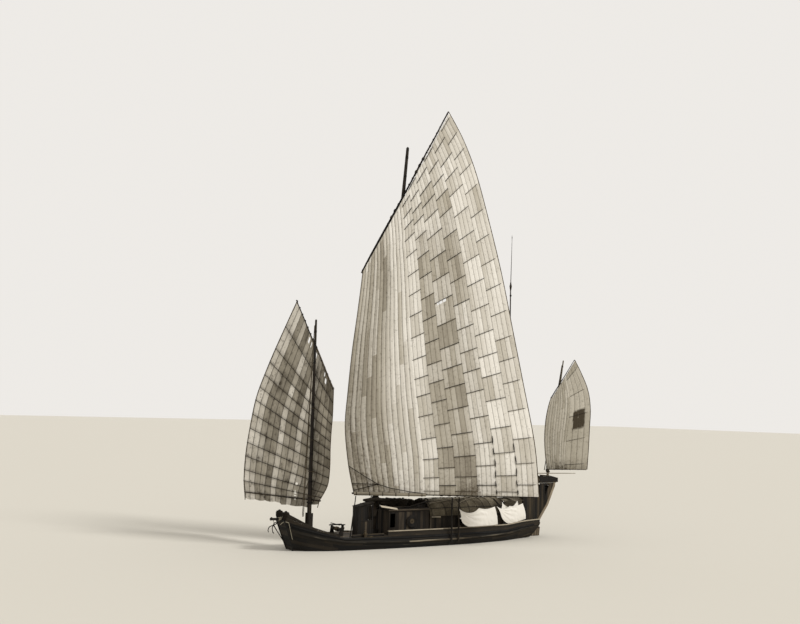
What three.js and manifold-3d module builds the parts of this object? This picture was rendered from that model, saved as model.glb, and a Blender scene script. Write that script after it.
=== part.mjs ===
// River cargo junk with four masts, millimetres, +Z up.
// X runs aft, -Y is the port side, and z = 0 is the waterline amidships.
import * as THREE from 'three';
import { mergeVertices } from 'three/addons/utils/BufferGeometryUtils.js';
import Module from 'manifold-3d';

const wasm = await Module();
wasm.setup();

// Driving dimensions
const GAP = 0.3;
const DECK_Z = 800;
const DECK_FLAT_FORE = -6300;
const DECK_FLAT_AFT = 7200;
const BULWARK_THICK = 50;
const WALL_THICK = 50;
const SPAR_SIDES = 12;
const HULL_RINGS = 24;
const CLOTH_THICK = 24;
const BATTEN_THICK = 45;
const BATTEN_DEEP = 55;

const FOREMAST = { x: -8100, length: 13820, rake: 0, footR: 150, topR: 70, swing: 110 };
const MAINMAST = { x: -3300, length: 27500, rake: 4.3, footR: 220, topR: 105, swing: -28 };
const MIZZENMAST = { x: 11600, length: 9450, rake: 9.5, footR: 95, topR: 50, swing: -25 };
const VANEMAST = { x: 9000, y: 900, top: 19500, rake: 0.6, footR: 75, topR: 45, poleTop: 23200 };

const COLORS = {
  hull: 0x3b3024, deck: 0x5a4c3a, trim: 0xa89a80, house: 0x6b5f4c, mat: 0x8a7a5c,
  spar: 0x4a3d2e, sail: 0xb9ad97, batten: 0x57493a, rudder: 0x85735a, iron: 0x2d2925,
  cloth: 0xe4e0d6, rope: 0x6e604b,
};

const root = new THREE.Group();

// Shape helpers

/** Adds one named mesh to a parent group. */
function addPiece(name, geometry, color, parent = root, roughness = 0.85) {
  const material = new THREE.MeshStandardMaterial({ color, roughness, metalness: 0 });
  const mesh = new THREE.Mesh(geometry, material);
  mesh.name = name;
  parent.add(mesh);
  return mesh;
}

/** Closed body through equal rings of points, with flat caps at both ends. */
function loft(rings) {
  const count = rings[0].length;
  const positions = rings.flat().flatMap((p) => [p.x, p.y, p.z]);
  const index = [];
  for (let ring = 0; ring < rings.length - 1; ring += 1) {
    for (let side = 0; side < count; side += 1) {
      const next = (side + 1) % count;
      const a = ring * count + side;
      const b = ring * count + next;
      index.push(a, b, b + count, a, b + count, a + count);
    }
  }
  const caps = [[0, false], [rings.length - 1, true]];
  for (const [ring, flip] of caps) {
    for (const tri of capTriangles(rings[ring])) {
      const [a, b, c] = tri.map((corner) => ring * count + corner);
      index.push(...(flip ? [a, b, c] : [c, b, a]));
    }
  }
  const geometry = new THREE.BufferGeometry();
  geometry.setAttribute('position', new THREE.Float32BufferAttribute(positions, 3));
  geometry.setIndex(index);
  return facingOut(geometry);
}

/** Triangles of one flat ring, wound as the ring is. */
function capTriangles(ring) {
  const normal = new THREE.Vector3();
  for (let k = 0; k < ring.length; k += 1) {
    const p = ring[k];
    const q = ring[(k + 1) % ring.length];
    normal.x += (p.y - q.y) * (p.z + q.z);
    normal.y += (p.z - q.z) * (p.x + q.x);
    normal.z += (p.x - q.x) * (p.y + q.y);
  }
  normal.normalize();
  const helper = Math.abs(normal.z) < 0.9 ? new THREE.Vector3(0, 0, 1) : new THREE.Vector3(1, 0, 0);
  const u = new THREE.Vector3().crossVectors(helper, normal).normalize();
  const v = new THREE.Vector3().crossVectors(normal, u);
  const flat = ring.map((p) => new THREE.Vector2(p.dot(u), p.dot(v)));
  return THREE.ShapeUtils.triangulateShape(flat, []);
}

/** Turns the faces of a closed body so that they point out. */
function facingOut(geometry) {
  const p = geometry.attributes.position;
  const index = Array.from(geometry.index.array);
  let volume = 0;
  const [a, b, c] = [new THREE.Vector3(), new THREE.Vector3(), new THREE.Vector3()];
  for (let k = 0; k < index.length; k += 3) {
    a.fromBufferAttribute(p, index[k]);
    b.fromBufferAttribute(p, index[k + 1]);
    c.fromBufferAttribute(p, index[k + 2]);
    volume += a.dot(b.cross(c));
  }
  if (volume < 0) {
    for (let k = 0; k < index.length; k += 3) {
      [index[k], index[k + 2]] = [index[k + 2], index[k]];
    }
  }
  geometry.setIndex(index);
  return geometry;
}

/** A closed three.js geometry as a manifold solid. */
function solid(geometry) {
  let g = geometry.clone();
  g.deleteAttribute('normal');
  g.deleteAttribute('uv');
  g = mergeVertices(g, 1e-3);
  return new wasm.Manifold(new wasm.Mesh({
    numProp: 3,
    vertProperties: new Float32Array(g.attributes.position.array),
    triVerts: new Uint32Array(g.index.array),
  }));
}

/** A manifold solid back as a three.js geometry. */
function geometryOf(manifold) {
  const mesh = manifold.getMesh();
  const geometry = new THREE.BufferGeometry();
  geometry.setAttribute('position', new THREE.Float32BufferAttribute(mesh.vertProperties, 3));
  geometry.setIndex(Array.from(mesh.triVerts));
  return geometry;
}

/** Joins closed geometries that overlap into one body. */
function join(...geometries) {
  return geometryOf(geometries.map(solid).reduce((sum, next) => sum.add(next)));
}

/** Cuts closed geometries out of the first one. */
function cut(base, ...tools) {
  return geometryOf(tools.map(solid).reduce((rest, next) => rest.subtract(next), solid(base)));
}

/** Box between two corners. */
function box(x0, x1, y0, y1, z0, z1) {
  const g = new THREE.BoxGeometry(x1 - x0, y1 - y0, z1 - z0);
  g.translate((x0 + x1) / 2, (y0 + y1) / 2, (z0 + z1) / 2);
  return g;
}

/** Round tapered bar from one point to another. */
function bar(from, to, r0, r1 = r0, sides = SPAR_SIDES) {
  const axis = new THREE.Vector3().subVectors(to, from);
  const g = new THREE.CylinderGeometry(r1, r0, axis.length(), sides);
  const up = new THREE.Vector3(0, 1, 0);
  const turn = new THREE.Quaternion().setFromUnitVectors(up, axis.clone().normalize());
  g.applyQuaternion(turn);
  const middle = new THREE.Vector3().addVectors(from, to).multiplyScalar(0.5);
  g.translate(middle.x, middle.y, middle.z);
  return g;
}

/** Flat plate with a side outline in X and Z, between two Y values. */
function sidePlate(points, y0, y1, holes = []) {
  const shape = new THREE.Shape(points.map(([x, z]) => new THREE.Vector2(x, z)));
  for (const hole of holes) {
    shape.holes.push(new THREE.Path(hole.map(([x, z]) => new THREE.Vector2(x, z))));
  }
  const g = new THREE.ExtrudeGeometry(shape, { depth: y1 - y0, bevelEnabled: false });
  g.rotateX(Math.PI / 2);
  g.translate(0, y1, 0);
  return g;
}

/** Plate with an end outline in Y and Z, between two X values. */
function endPlate(points, x0, x1) {
  const shape = new THREE.Shape(points.map(([y, z]) => new THREE.Vector2(y, z)));
  const g = new THREE.ExtrudeGeometry(shape, { depth: x1 - x0, bevelEnabled: false });
  g.rotateX(Math.PI / 2);
  g.rotateZ(Math.PI / 2);
  g.translate(x0, 0, 0);
  return g;
}

/** Value of a smooth curve through the rows of a table, by row position t. */
function smoothColumn(rows, column, t) {
  const last = rows.length - 1;
  const i = Math.min(Math.floor(t), last - 1);
  const f = t - i;
  const at = (k) => rows[Math.max(0, Math.min(last, k))][column];
  const slope0 = (at(i + 1) - at(i - 1)) / 2;
  const slope1 = (at(i + 2) - at(i)) / 2;
  const h = f * f * (3 - 2 * f);
  return at(i) * (1 - h) + at(i + 1) * h + slope0 * f * (1 - f) * (1 - f) - slope1 * f * f * (1 - f);
}

/** Value of a straight-line curve through the rows of a table. */
function straightColumn(rows, column, t) {
  const i = Math.min(Math.floor(t), rows.length - 2);
  return THREE.MathUtils.lerp(rows[i][column], rows[i + 1][column], t - i);
}

// Hull

// Sections from bow to stern. Columns: x at deck, half breadth at deck, deck z,
// half breadth and z at the wale, half breadth and z at the bilge, x, half breadth and z of the floor.
const HULL = [
  [-10150, 660, 1950, 640, 1300, 540, 250, -9300, 420, -250],
  [-9200, 1020, 1620, 1010, 1080, 890, 80, -8550, 620, -600],
  [-7800, 1420, 1200, 1460, 800, 1290, -120, -7400, 850, -850],
  [DECK_FLAT_FORE, 1700, DECK_Z, 1760, 560, 1540, -250, -6100, 1040, -950],
  [-3000, 1920, DECK_Z, 1990, 450, 1760, -350, -3000, 1200, -1000],
  [500, 1980, DECK_Z, 2060, 420, 1830, -380, 500, 1250, -1000],
  [4000, 1920, DECK_Z, 1990, 450, 1740, -300, 4000, 1150, -950],
  [DECK_FLAT_AFT, 1700, DECK_Z, 1760, 560, 1450, 0, 7050, 930, -680],
  [8800, 1440, 1000, 1450, 760, 1160, 240, 8450, 740, -280],
  [10650, 1225, 1150, 1205, 930, 990, 520, 10150, 620, 60],
];

/** The columns of the hull table at row position t. */
function hullSection(t) {
  const value = (column) => smoothColumn(HULL, column, t);
  return {
    x: straightColumn(HULL, 0, t),
    half: value(1),
    deck: straightColumn(HULL, 2, t),
    waleHalf: value(3),
    waleZ: value(4),
    bilgeHalf: value(5),
    bilgeZ: value(6),
    floorX: straightColumn(HULL, 7, t),
    floorHalf: value(8),
    floorZ: value(9),
  };
}

/** Row position in the hull table where the deck has a given x. */
function hullRow(x) {
  for (let i = 0; i < HULL.length - 1; i += 1) {
    if (x <= HULL[i + 1][0]) {
      return i + (x - HULL[i][0]) / (HULL[i + 1][0] - HULL[i][0]);
    }
  }
  return HULL.length - 1;
}

/** Deck height at x. */
function deckAt(x) {
  return straightColumn(HULL, 2, Math.max(0, hullRow(x)));
}

/** One closed ring of the hull at row position t. */
function hullRing(t) {
  const s = hullSection(t);
  const xAt = (z) => THREE.MathUtils.mapLinear(z, s.floorZ, s.deck, s.floorX, s.x);
  const side = [
    [s.half, s.deck], [s.waleHalf, s.waleZ], [s.bilgeHalf, s.bilgeZ], [s.floorHalf, s.floorZ],
  ];
  const port = side.map(([y, z]) => new THREE.Vector3(xAt(z), -y, z));
  const starboard = side.map(([y, z]) => new THREE.Vector3(xAt(z), y, z)).reverse();
  return [...port, ...starboard];
}

/** Row positions from one hull row to another, with the table's own rows among them. */
function rowSteps(from, to, step = (HULL.length - 1) / HULL_RINGS) {
  const steps = [from];
  for (let t = Math.floor(from / step) * step + step; t < to - 1e-6; t += step) {
    if (t > from + 1e-6) {
      steps.push(t);
    }
  }
  steps.push(to);
  return steps;
}

/** Makes the solid decked hull. */
function buildHull() {
  const rings = rowSteps(0, HULL.length - 1, 1 / 3).map(hullRing);
  addPiece('hull', loft(rings), COLORS.hull);
}

/** Plank wall on the deck edge. heights has rows of x and height; side is -1 for port. */
function deckEdgeWall(heights, side, thick, inset = 0) {
  const from = hullRow(heights[0][0]);
  const to = hullRow(heights[heights.length - 1][0]);
  const rings = rowSteps(from, to, 1 / 3).map((t) => {
    const s = hullSection(t);
    const top = s.deck + GAP + heightAt(heights, s.x);
    const outer = side * (s.half - inset);
    const inner = side * (s.half - inset - thick);
    return [
      new THREE.Vector3(s.x, outer, s.deck + GAP), new THREE.Vector3(s.x, outer, top),
      new THREE.Vector3(s.x, inner, top), new THREE.Vector3(s.x, inner, s.deck + GAP),
    ];
  });
  return loft(rings);
}

/** Straight-line height at x from rows of x and height. */
function heightAt(rows, x) {
  const last = rows[rows.length - 1];
  if (x >= last[0]) {
    return last[1];
  }
  const i = Math.max(0, rows.findIndex((row) => x < row[0]) - 1);
  return THREE.MathUtils.mapLinear(x, rows[i][0], rows[i + 1][0], rows[i][1], rows[i + 1][1]);
}

// Columns: x, height of the planking above the deck.
const BOW_BULWARK = [[-10100, 560], [-9300, 400], [-8350, 180], [-7400, 150], [-6600, 110]];
const WAIST_BULWARK = [[-3100, 330], [500, 325], [4000, 330], [7200, 350], [8800, 300], [10600, 220]];
const CAP_THICK = 60;
const CAP_WIDE = 150;
const WALE_PROUD = 60;

/** Rail plank that caps a bulwark, following its top. */
function capRail(heights, side) {
  const from = hullRow(heights[0][0]);
  const to = hullRow(heights[heights.length - 1][0]);
  const rings = rowSteps(from, to, 1 / 3).map((t) => {
    const s = hullSection(t);
    const low = s.deck + 2 * GAP + heightAt(heights, s.x);
    const outer = side * (s.half + 45);
    const inner = side * (s.half + 45 - CAP_WIDE);
    return [
      new THREE.Vector3(s.x, outer, low), new THREE.Vector3(s.x, outer, low + CAP_THICK),
      new THREE.Vector3(s.x, inner, low + CAP_THICK), new THREE.Vector3(s.x, inner, low),
    ];
  });
  return loft(rings);
}

/** The hull grown sideways by about the gap, to cut what lies against it. */
function hullTool() {
  const g = loft(rowSteps(0, HULL.length - 1, 1 / 3).map(hullRing));
  g.scale(1, 1.0005, 1);
  return g;
}

/** Rubbing strake on the topside, its centre a share of the way from deck edge to wale. */
function wale(share, from, to, side, tall, proud) {
  const depth = 120;
  const rings = rowSteps(hullRow(from), hullRow(to), 1 / 3).map((t) => {
    const s = hullSection(t);
    const y = THREE.MathUtils.lerp(s.half, s.waleHalf, share);
    const z = THREE.MathUtils.lerp(s.deck, s.waleZ, share);
    const x = THREE.MathUtils.mapLinear(z, s.floorZ, s.deck, s.floorX, s.x);
    const corner = (half, height) => new THREE.Vector3(x, side * half, height);
    return [
      corner(y - depth, z - tall / 2), corner(y - depth, z + tall / 2),
      corner(y + proud, z + tall / 2), corner(y + proud, z - tall / 2),
    ];
  });
  return cut(loft(rings), hullTool());
}

/** The strake at the hull's widest line. */
function lowerWale(side) {
  return wale(0.98, -9500, 9600, side, 120, WALE_PROUD);
}

/** Bulwarks, cap rails and wales on both sides. */
function buildSides() {
  for (const [word, side] of [['port', -1], ['starboard', 1]]) {
    addPiece(`bow_bulwark_${word}`, deckEdgeWall(BOW_BULWARK, side, BULWARK_THICK), COLORS.hull);
    addPiece(`waist_bulwark_${word}`, deckEdgeWall(WAIST_BULWARK, side, BULWARK_THICK), COLORS.hull);
    addPiece(`cap_rail_${word}`, capRail(WAIST_BULWARK, side), COLORS.trim);
    addPiece(`upper_wale_${word}`, wale(0.3, -9700, 10000, side, 110, WALE_PROUD), COLORS.spar);
    addPiece(`lower_wale_${word}`, lowerWale(side), COLORS.spar);
  }
}

// Rounded post heads at the two corners of the bow.
const BOW_POST = { x0: -10130, x1: -9915, inner: 395, outer: 600, top: 2580 };

/** Post head at one corner of the bow, narrowing to a rounded top. */
function bowPost(side) {
  const { x0, x1, inner, outer, top } = BOW_POST;
  const middle = [(x0 + x1) / 2, side * (inner + outer) / 2];
  const rows = [[1, deckAt(x0) + GAP], [1, top - 160], [0.88, top - 70], [0.55, top - 12], [0.3, top]];
  const corners = [[x0, inner], [x1, inner], [x1, outer], [x0, outer]];
  const towards = (index, value, share) => THREE.MathUtils.lerp(middle[index], value, share);
  return loft(rows.map(([share, z]) => corners.map(([x, y]) => (
    new THREE.Vector3(towards(0, x, share), towards(1, side * y, share), z)))));
}

/** Post heads and cathead beam over the bow, and the hung four-fluke anchor. */
function buildBow() {
  addPiece('bow_post_port', bowPost(-1), COLORS.hull);
  addPiece('bow_post_starboard', bowPost(1), COLORS.hull);
  const beamHalf = 75;
  const deckHere = deckAt(-10150);
  const beam = join(
    box(-10900, -9750, -beamHalf, beamHalf, deckHere + GAP, deckHere + GAP + 150),
    box(-9900, -9750, -560, 560, deckHere + GAP, deckHere + GAP + 150),
  );
  addPiece('bow_beam', beam, COLORS.spar);
  const crown = new THREE.Vector3(-10640, 0, 1640);
  const foot = new THREE.Vector3(-9930, 0, 640);
  const down = new THREE.Vector3().subVectors(foot, crown).normalize();
  const across = new THREE.Vector3(0, 1, 0);
  const out = new THREE.Vector3().crossVectors(across, down).normalize();
  const parts = [
    bar(crown.clone().addScaledVector(down, -60), foot, 38, 30, 8),
    bar(crown, new THREE.Vector3(crown.x, 0, deckHere), 16, 16, 8),
  ];
  for (let k = 0; k < 4; k += 1) {
    const angle = (k + 0.5) * Math.PI / 2;
    const radial = across.clone().multiplyScalar(Math.cos(angle)).addScaledVector(out, Math.sin(angle));
    const knee = crown.clone().addScaledVector(radial, 330).addScaledVector(down, -10);
    const tip = crown.clone().addScaledVector(radial, 600).addScaledVector(down, 330);
    const beside = (reach) => knee.clone().addScaledVector(radial, reach);
    parts.push(bar(crown, knee, 34, 30, 8), bar(knee, tip, 32, 12, 8));
    parts.push(bar(beside(-24), beside(24), 33, 33, 8));
  }
  addPiece('anchor', join(...parts), COLORS.iron);
}

/** Frame of two cheeks for the foremast, and the block that holds the mainmast. */
function buildMastSteps() {
  const z = deckAt(FOREMAST.x + 260) - 20;
  const cheek = (y0) => box(FOREMAST.x - 170, FOREMAST.x + 170, y0, y0 + 90, z, z + 1150);
  const gap = FOREMAST.footR + 12;
  const base = join(
    cheek(-gap - 90), cheek(gap),
    box(FOREMAST.x - 260, FOREMAST.x - gap, -gap - 90, gap + 90, z, z + 260),
    box(FOREMAST.x + gap, FOREMAST.x + 260, -gap - 90, gap + 90, z, z + 260),
  );
  const slope = [
    new THREE.Vector3(-9200, -2000, deckAt(-9200) + GAP),
    new THREE.Vector3(-7800, -2000, deckAt(-7800) + GAP),
    new THREE.Vector3(-7800, -2000, 0), new THREE.Vector3(-9200, -2000, 0),
  ];
  const under = loft([slope, slope.map((p) => new THREE.Vector3(p.x, 2000, p.z))]);
  const flat = [
    new THREE.Vector3(-7800, -2000, deckAt(-7800) + GAP), new THREE.Vector3(-6300, -2000, DECK_Z + GAP),
    new THREE.Vector3(-6300, -2000, 0), new THREE.Vector3(-7800, -2000, 0),
  ];
  const underAft = loft([flat, flat.map((p) => new THREE.Vector3(p.x, 2000, p.z))]);
  addPiece('foremast_tabernacle', cut(base, under, underAft), COLORS.spar);
  const hole = mastSolid(MAINMAST, 2);
  addPiece('mainmast_partners', cut(
    box(MAINMAST.x - 420, MAINMAST.x + 340, -380, 380, DECK_Z + GAP, DECK_Z + 300), hole), COLORS.spar);
}

/** Distance along a raked mast's axis at which its foot just clears a floor. */
function footOn(mast, floorZ) {
  const rake = THREE.MathUtils.degToRad(mast.rake);
  return (floorZ + GAP + mast.footR * Math.sin(rake)) / Math.cos(rake);
}

const WING = { inner: 1020, outer: 1100, topZ: 4050 };
const GALLERY = {
  x0: 10650, x1: 12420, half: 1150, floor: 100, railZ: 4700, ridgeX: 11540, ridgeDrop: 70, aftDrop: 270,
  gateHalf: 200,
};

FOREMAST.foot = footOn(FOREMAST, deckAt(FOREMAST.x - FOREMAST.footR));
MAINMAST.foot = footOn(MAINMAST, DECK_Z);
MIZZENMAST.foot = footOn(MIZZENMAST, WING.topZ + GAP + GALLERY.floor);
VANEMAST.foot = footOn(VANEMAST, deckAt(VANEMAST.x + VANEMAST.footR + 12));

/** World geometry of a mast's lower length, grown by a clearance. */
function mastSolid(mast, grow) {
  const g = new THREE.CylinderGeometry(mast.footR + grow, mast.footR + grow, 3000, SPAR_SIDES);
  g.rotateX(Math.PI / 2);
  g.rotateY(THREE.MathUtils.degToRad(mast.rake));
  g.translate(mast.x, 0, 0);
  return g;
}

/** Group whose Z axis is the mast's axis, through the mast's place on z = 0. */
function mastGroup(mast) {
  const group = new THREE.Group();
  group.position.set(mast.x, 0, 0);
  group.rotation.y = THREE.MathUtils.degToRad(mast.rake);
  root.add(group);
  return group;
}

/** Mast radius at a distance along its axis. */
function mastRadius(mast, z) {
  return THREE.MathUtils.mapLinear(z, mast.foot, mast.foot + mast.length, mast.footR, mast.topR);
}

/** Turned mast with a shoulder that carries the sail's lowest parrel. */
function buildMast(name, mast, shoulderZ) {
  const r = mastRadius(mast, shoulderZ);
  const lip = r + 55;
  const profile = [
    [0, mast.foot], [mast.footR, mast.foot], [r, shoulderZ - 130], [lip, shoulderZ - 70], [lip, shoulderZ],
    [mastRadius(mast, shoulderZ), shoulderZ], [mast.topR, mast.foot + mast.length],
    [0, mast.foot + mast.length + mast.topR],
  ];
  const g = new THREE.LatheGeometry(profile.map(([x, z]) => new THREE.Vector2(x, z)), SPAR_SIDES);
  g.rotateX(Math.PI / 2);
  addPiece(name, g, COLORS.spar, mastGroup(mast));
}

// Sails. Columns: luff x, luff z, leech x, leech z, measured from the mast's axis on z = 0,
// x towards the leech and z along the mast. The first row is the foot and the last is the yard.
const MAIN_SAIL = {
  name: 'main', mast: MAINMAST, shoulder: 3290, stand: 400, camber: 300,
  yardR: 95, boomR: 60, boomRow: 0, battens: 13, lowest: 0.05, highest: 0.88, columns: 8, lashings: 9,
  rows: [
    [-1530, 3430, 11300, 4270],
    [-2100, 5400, 10750, 7800],
    [-2560, 7900, 9550, 12290],
    [-2600, 10300, 8620, 15670],
    [-2580, 13100, 7530, 19590],
    [-2470, 15700, 6360, 23250],
    [-2400, 17700, 5100, 26840],
    [-2385, 18450, 3950, 29300],
    [-2370, 18900, 2710, 31280],
  ],
};
const FORE_SAIL = {
  name: 'fore', mast: FOREMAST, shoulder: 3080, stand: 260, camber: 0,
  yardR: 70, boomR: 50, boomRow: 1, battens: 9, lowest: 0.24, highest: 0.91, columns: 3, lashings: 6,
  rows: [
    [-480, 2700, 6300, 2680],
    [-650, 3200, 6350, 3240],
    [-820, 3420, 6730, 4100],
    [-1330, 4250, 6650, 5900],
    [-1470, 5400, 6300, 7900],
    [-1450, 6600, 5800, 9900],
    [-1490, 7750, 4950, 11700],
    [-1565, 8900, 3900, 13600],
    [-1570, 10600, 2070, 16660],
  ],
};
const MIZZEN_SAIL = {
  name: 'mizzen', mast: MIZZENMAST, shoulder: 4950, stand: 175, camber: 80,
  yardR: 42, boomR: 35, boomRow: 0, battens: 7, lowest: 0.05, highest: 0.82, columns: 4, lashings: 4,
  rows: [
    [-130, 5060, 3000, 5560],
    [-420, 6000, 2900, 7200],
    [-680, 7300, 2780, 8700],
    [-790, 8600, 2640, 10300],
    [-760, 9600, 2240, 11730],
    [-680, 10250, 1500, 13000],
    [-590, 10620, 860, 13900],
  ],
};

/** Point on the sail's sheet: v from foot to yard, s from luff to leech, out from the sheet. */
function sailPoint(sail, v, s, out = 0) {
  const t = v * (sail.rows.length - 1);
  const value = (column) => smoothColumn(sail.rows, column, t);
  const x = THREE.MathUtils.lerp(value(0), value(2), s);
  const z = THREE.MathUtils.lerp(value(1), value(3), s);
  const belly = sail.camber * 4 * s * (1 - s) * Math.sin(Math.PI * v) ** 0.4;
  return new THREE.Vector3(x, -sail.stand - belly + out, z);
}

/** Bar of square section that follows the sheet through a list of (v, s), on the mast's side. */
function sheetBar(sail, stations) {
  const first = sailPoint(sail, ...stations[0]);
  const last = sailPoint(sail, ...stations[stations.length - 1]);
  const along = new THREE.Vector3().subVectors(last, first).normalize();
  const up = new THREE.Vector3().crossVectors(along, new THREE.Vector3(0, 1, 0)).normalize();
  const rings = stations.map(([v, s]) => {
    const low = sailPoint(sail, v, s, GAP);
    const high = sailPoint(sail, v, s, BATTEN_THICK);
    return [
      low.clone().addScaledVector(up, -BATTEN_DEEP / 2), low.clone().addScaledVector(up, BATTEN_DEEP / 2),
      high.clone().addScaledVector(up, BATTEN_DEEP / 2), high.clone().addScaledVector(up, -BATTEN_DEEP / 2),
    ];
  });
  return loft(rings);
}

/** Rope ring round the mast with an arm to the sail's face. */
function parrel(sail, z, arm) {
  const r = mastRadius(sail.mast, z - 40) + 12;
  const profile = [[r, z], [r + 34, z], [r + 34, z + 60], [r, z + 60], [r, z]];
  const ring = new THREE.LatheGeometry(profile.map(([x, h]) => new THREE.Vector2(x, h)), SPAR_SIDES);
  ring.rotateX(Math.PI / 2);
  return join(ring, box(-40, 40, -arm, -r - 12, z + 4, z + 56));
}

/** Turns of rope round a spar, spread along it. */
function lashings(from, to, radius, count) {
  const half = new THREE.Vector3().subVectors(to, from).setLength(radius);
  return Array.from({ length: count }, (_, k) => {
    const share = (k + 0.5) / count;
    const middle = new THREE.Vector3().lerpVectors(from, to, share);
    const thick = radius * THREE.MathUtils.lerp(1.28, 0.9, share);
    return bar(middle.clone().sub(half), middle.clone().add(half), thick, thick, 8);
  });
}

/** Point of a row of the sheet where it passes the mast. */
function rowAtMast(sail, v) {
  const luff = sailPoint(sail, v, 0);
  const leech = sailPoint(sail, v, 1);
  return sailPoint(sail, v, -luff.x / (leech.x - luff.x));
}

/** Sheet, yard, boom and batten frame of one sail, turned to its place about the mast. */
function buildSail(sail) {
  const group = new THREE.Group();
  group.rotation.z = THREE.MathUtils.degToRad(sail.mast.swing);
  mastGroup(sail.mast).add(group);
  const battenRows = Array.from({ length: sail.battens },
    (_, k) => THREE.MathUtils.lerp(sail.lowest, sail.highest, k / (sail.battens - 1)));
  const boomShare = sail.boomRow / (sail.rows.length - 1);
  const chord = Array.from({ length: sail.columns + 1 }, (_, c) => c / sail.columns);
  const sheetRows = [...new Set([0, boomShare, ...battenRows, 0.94, 1])];
  const sheet = loft(sheetRows.map((v) => [
    ...chord.map((s) => sailPoint(sail, v, s)),
    ...chord.map((s) => sailPoint(sail, v, 1 - s, -CLOTH_THICK)),
  ]));
  addPiece(`${sail.name}_sail`, sheet, COLORS.sail, group, 0.95);

  const sheetTools = [-1, 0, 1].map((step) => sheet.clone().translate(step * GAP, GAP, step * GAP));
  const boomAxis = -sail.stand + sail.boomR - 3;
  const foot = sail.rows[sail.boomRow];
  const drop = 0.6 * sail.boomR;
  const boomStart = new THREE.Vector3(foot[0] - 150, boomAxis, foot[1] - drop);
  const boomEnd = new THREE.Vector3(foot[2] - 60, boomAxis, foot[3] - drop);
  const boom = join(
    bar(boomStart, boomEnd, sail.boomR, sail.boomR * 0.8),
    ...lashings(boomStart, boomEnd, sail.boomR, sail.lashings),
    parrel(sail, sail.shoulder + GAP, sail.stand - sail.boomR),
    box(-45, 45, -sail.stand + sail.boomR * 0.6, -sail.stand + sail.boomR * 1.6,
      sail.shoulder + GAP + 4, rowAtMast(sail, boomShare).z),
  );
  addPiece(`${sail.name}_boom`, cut(boom, ...sheetTools), COLORS.spar, group);

  const yardAxis = -sail.stand + sail.yardR - 5;
  const head = sail.rows[sail.rows.length - 1];
  const slope = new THREE.Vector3(head[2] - head[0], 0, head[3] - head[1]).normalize();
  const yardStart = new THREE.Vector3(head[0], yardAxis, head[1]).addScaledVector(slope, -2 * sail.yardR);
  const yardEnd = new THREE.Vector3(head[2], yardAxis, head[3]).addScaledVector(slope, -40);
  const hang = rowAtMast(sail, 1).z - 30;
  const yard = join(
    bar(yardStart, yardEnd, sail.yardR, sail.yardR * 0.6),
    ...lashings(yardStart, yardEnd, sail.yardR, sail.lashings),
    parrel(sail, hang, sail.stand - sail.yardR),
  );
  addPiece(`${sail.name}_yard`, cut(yard, ...sheetTools), COLORS.spar, group);

  const parts = battenRows.map((v) => sheetBar(sail, chord.map((s) => [v, s])));
  for (const s of [0.006, 0.994]) {
    parts.push(sheetBar(sail, battenRows.map((v) => [v, s])));
  }
  for (const share of [0.3, 0.62]) {
    const pass = rowAtMast(sail, battenRows[Math.round(share * (sail.battens - 1))]);
    parts.push(parrel(sail, pass.z - 30, -pass.y - BATTEN_THICK / 2));
  }
  addPiece(`${sail.name}_battens`, cut(join(...parts), ...sheetTools), COLORS.batten, group);
}

/** Slender pole mast with its long vane pole and spear head. */
function buildVaneMast() {
  const profile = [
    [0, VANEMAST.foot], [VANEMAST.footR, VANEMAST.foot], [VANEMAST.topR, VANEMAST.top - 700],
    [95, VANEMAST.top - 350], [30, VANEMAST.top], [14, VANEMAST.poleTop], [0, VANEMAST.poleTop + 20],
  ];
  const g = new THREE.LatheGeometry(profile.map(([x, z]) => new THREE.Vector2(x, z)), SPAR_SIDES);
  g.rotateX(Math.PI / 2);
  const mesh = addPiece('vane_mast', g, COLORS.spar);
  mesh.position.set(VANEMAST.x, VANEMAST.y, 0);
  mesh.rotation.y = THREE.MathUtils.degToRad(VANEMAST.rake);
}

// Windlass
const WINDLASS = { x: -6020, z: DECK_Z + 430, half: 620, drumR: 115, pinR: 42 };

/** Windlass cheeks on a sill, and the drum between them. */
function buildWindlass() {
  const w = WINDLASS;
  const floor = DECK_Z + GAP;
  const cheek = (y0) => sidePlate(
    [[w.x - 150, floor], [w.x + 150, floor], [w.x + 90, w.z + 140], [w.x - 90, w.z + 140]], y0, y0 + 80);
  const sill = box(w.x - 60, w.x + 60, -w.half - 80, w.half + 80, floor, DECK_Z + 100);
  const end = (y) => new THREE.Vector3(w.x, y, w.z);
  const across = (reach, radius, sides) => (
    bar(end(-w.half - reach), end(w.half + reach), radius, radius, sides));
  const bore = across(200, w.pinR + 1, 24);
  addPiece('windlass_cheeks', cut(join(cheek(-w.half - 80), cheek(w.half), sill), bore), COLORS.spar);
  addPiece('windlass_drum', join(across(-6, w.drumR, 12), across(150, w.pinR, 24)), COLORS.spar);
}

/** Square bitt for mooring lines on each side deck. */
function buildBitts() {
  for (const [word, side] of [['port', -1], ['starboard', 1]]) {
    const y = side * 1600;
    const bitt = box(-4780, -4620, y - 80, y + 80, DECK_Z + GAP, DECK_Z + 450);
    addPiece(`mooring_bitt_${word}`, bitt, COLORS.spar);
  }
}

// Houses
const SHELTER = {
  x0: -5130, x1: -3950, port: -1300, starboard: -550, roofFore: 2730, roofAft: 3020, roof: 70, eave: 60,
  post: 90, plank: 50, poleY: -1460, poleFoot: -5770, poleHead: -5420, poleTop: 3520,
};
const HOUSE = { x0: -2700, x1: 560, half: 1300, wallTop: 2430, roof: 60, eave: 90 };
const MAT = { x0: 640, x1: 7100, half: 1300, wallTop: 1950, ridge: 3060, shell: 45, eave: 110 };
const DOOR = { y0: 330, y1: 930, z0: DECK_Z + 90, z1: DECK_Z + 1420, thick: 36, play: 10 };

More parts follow.
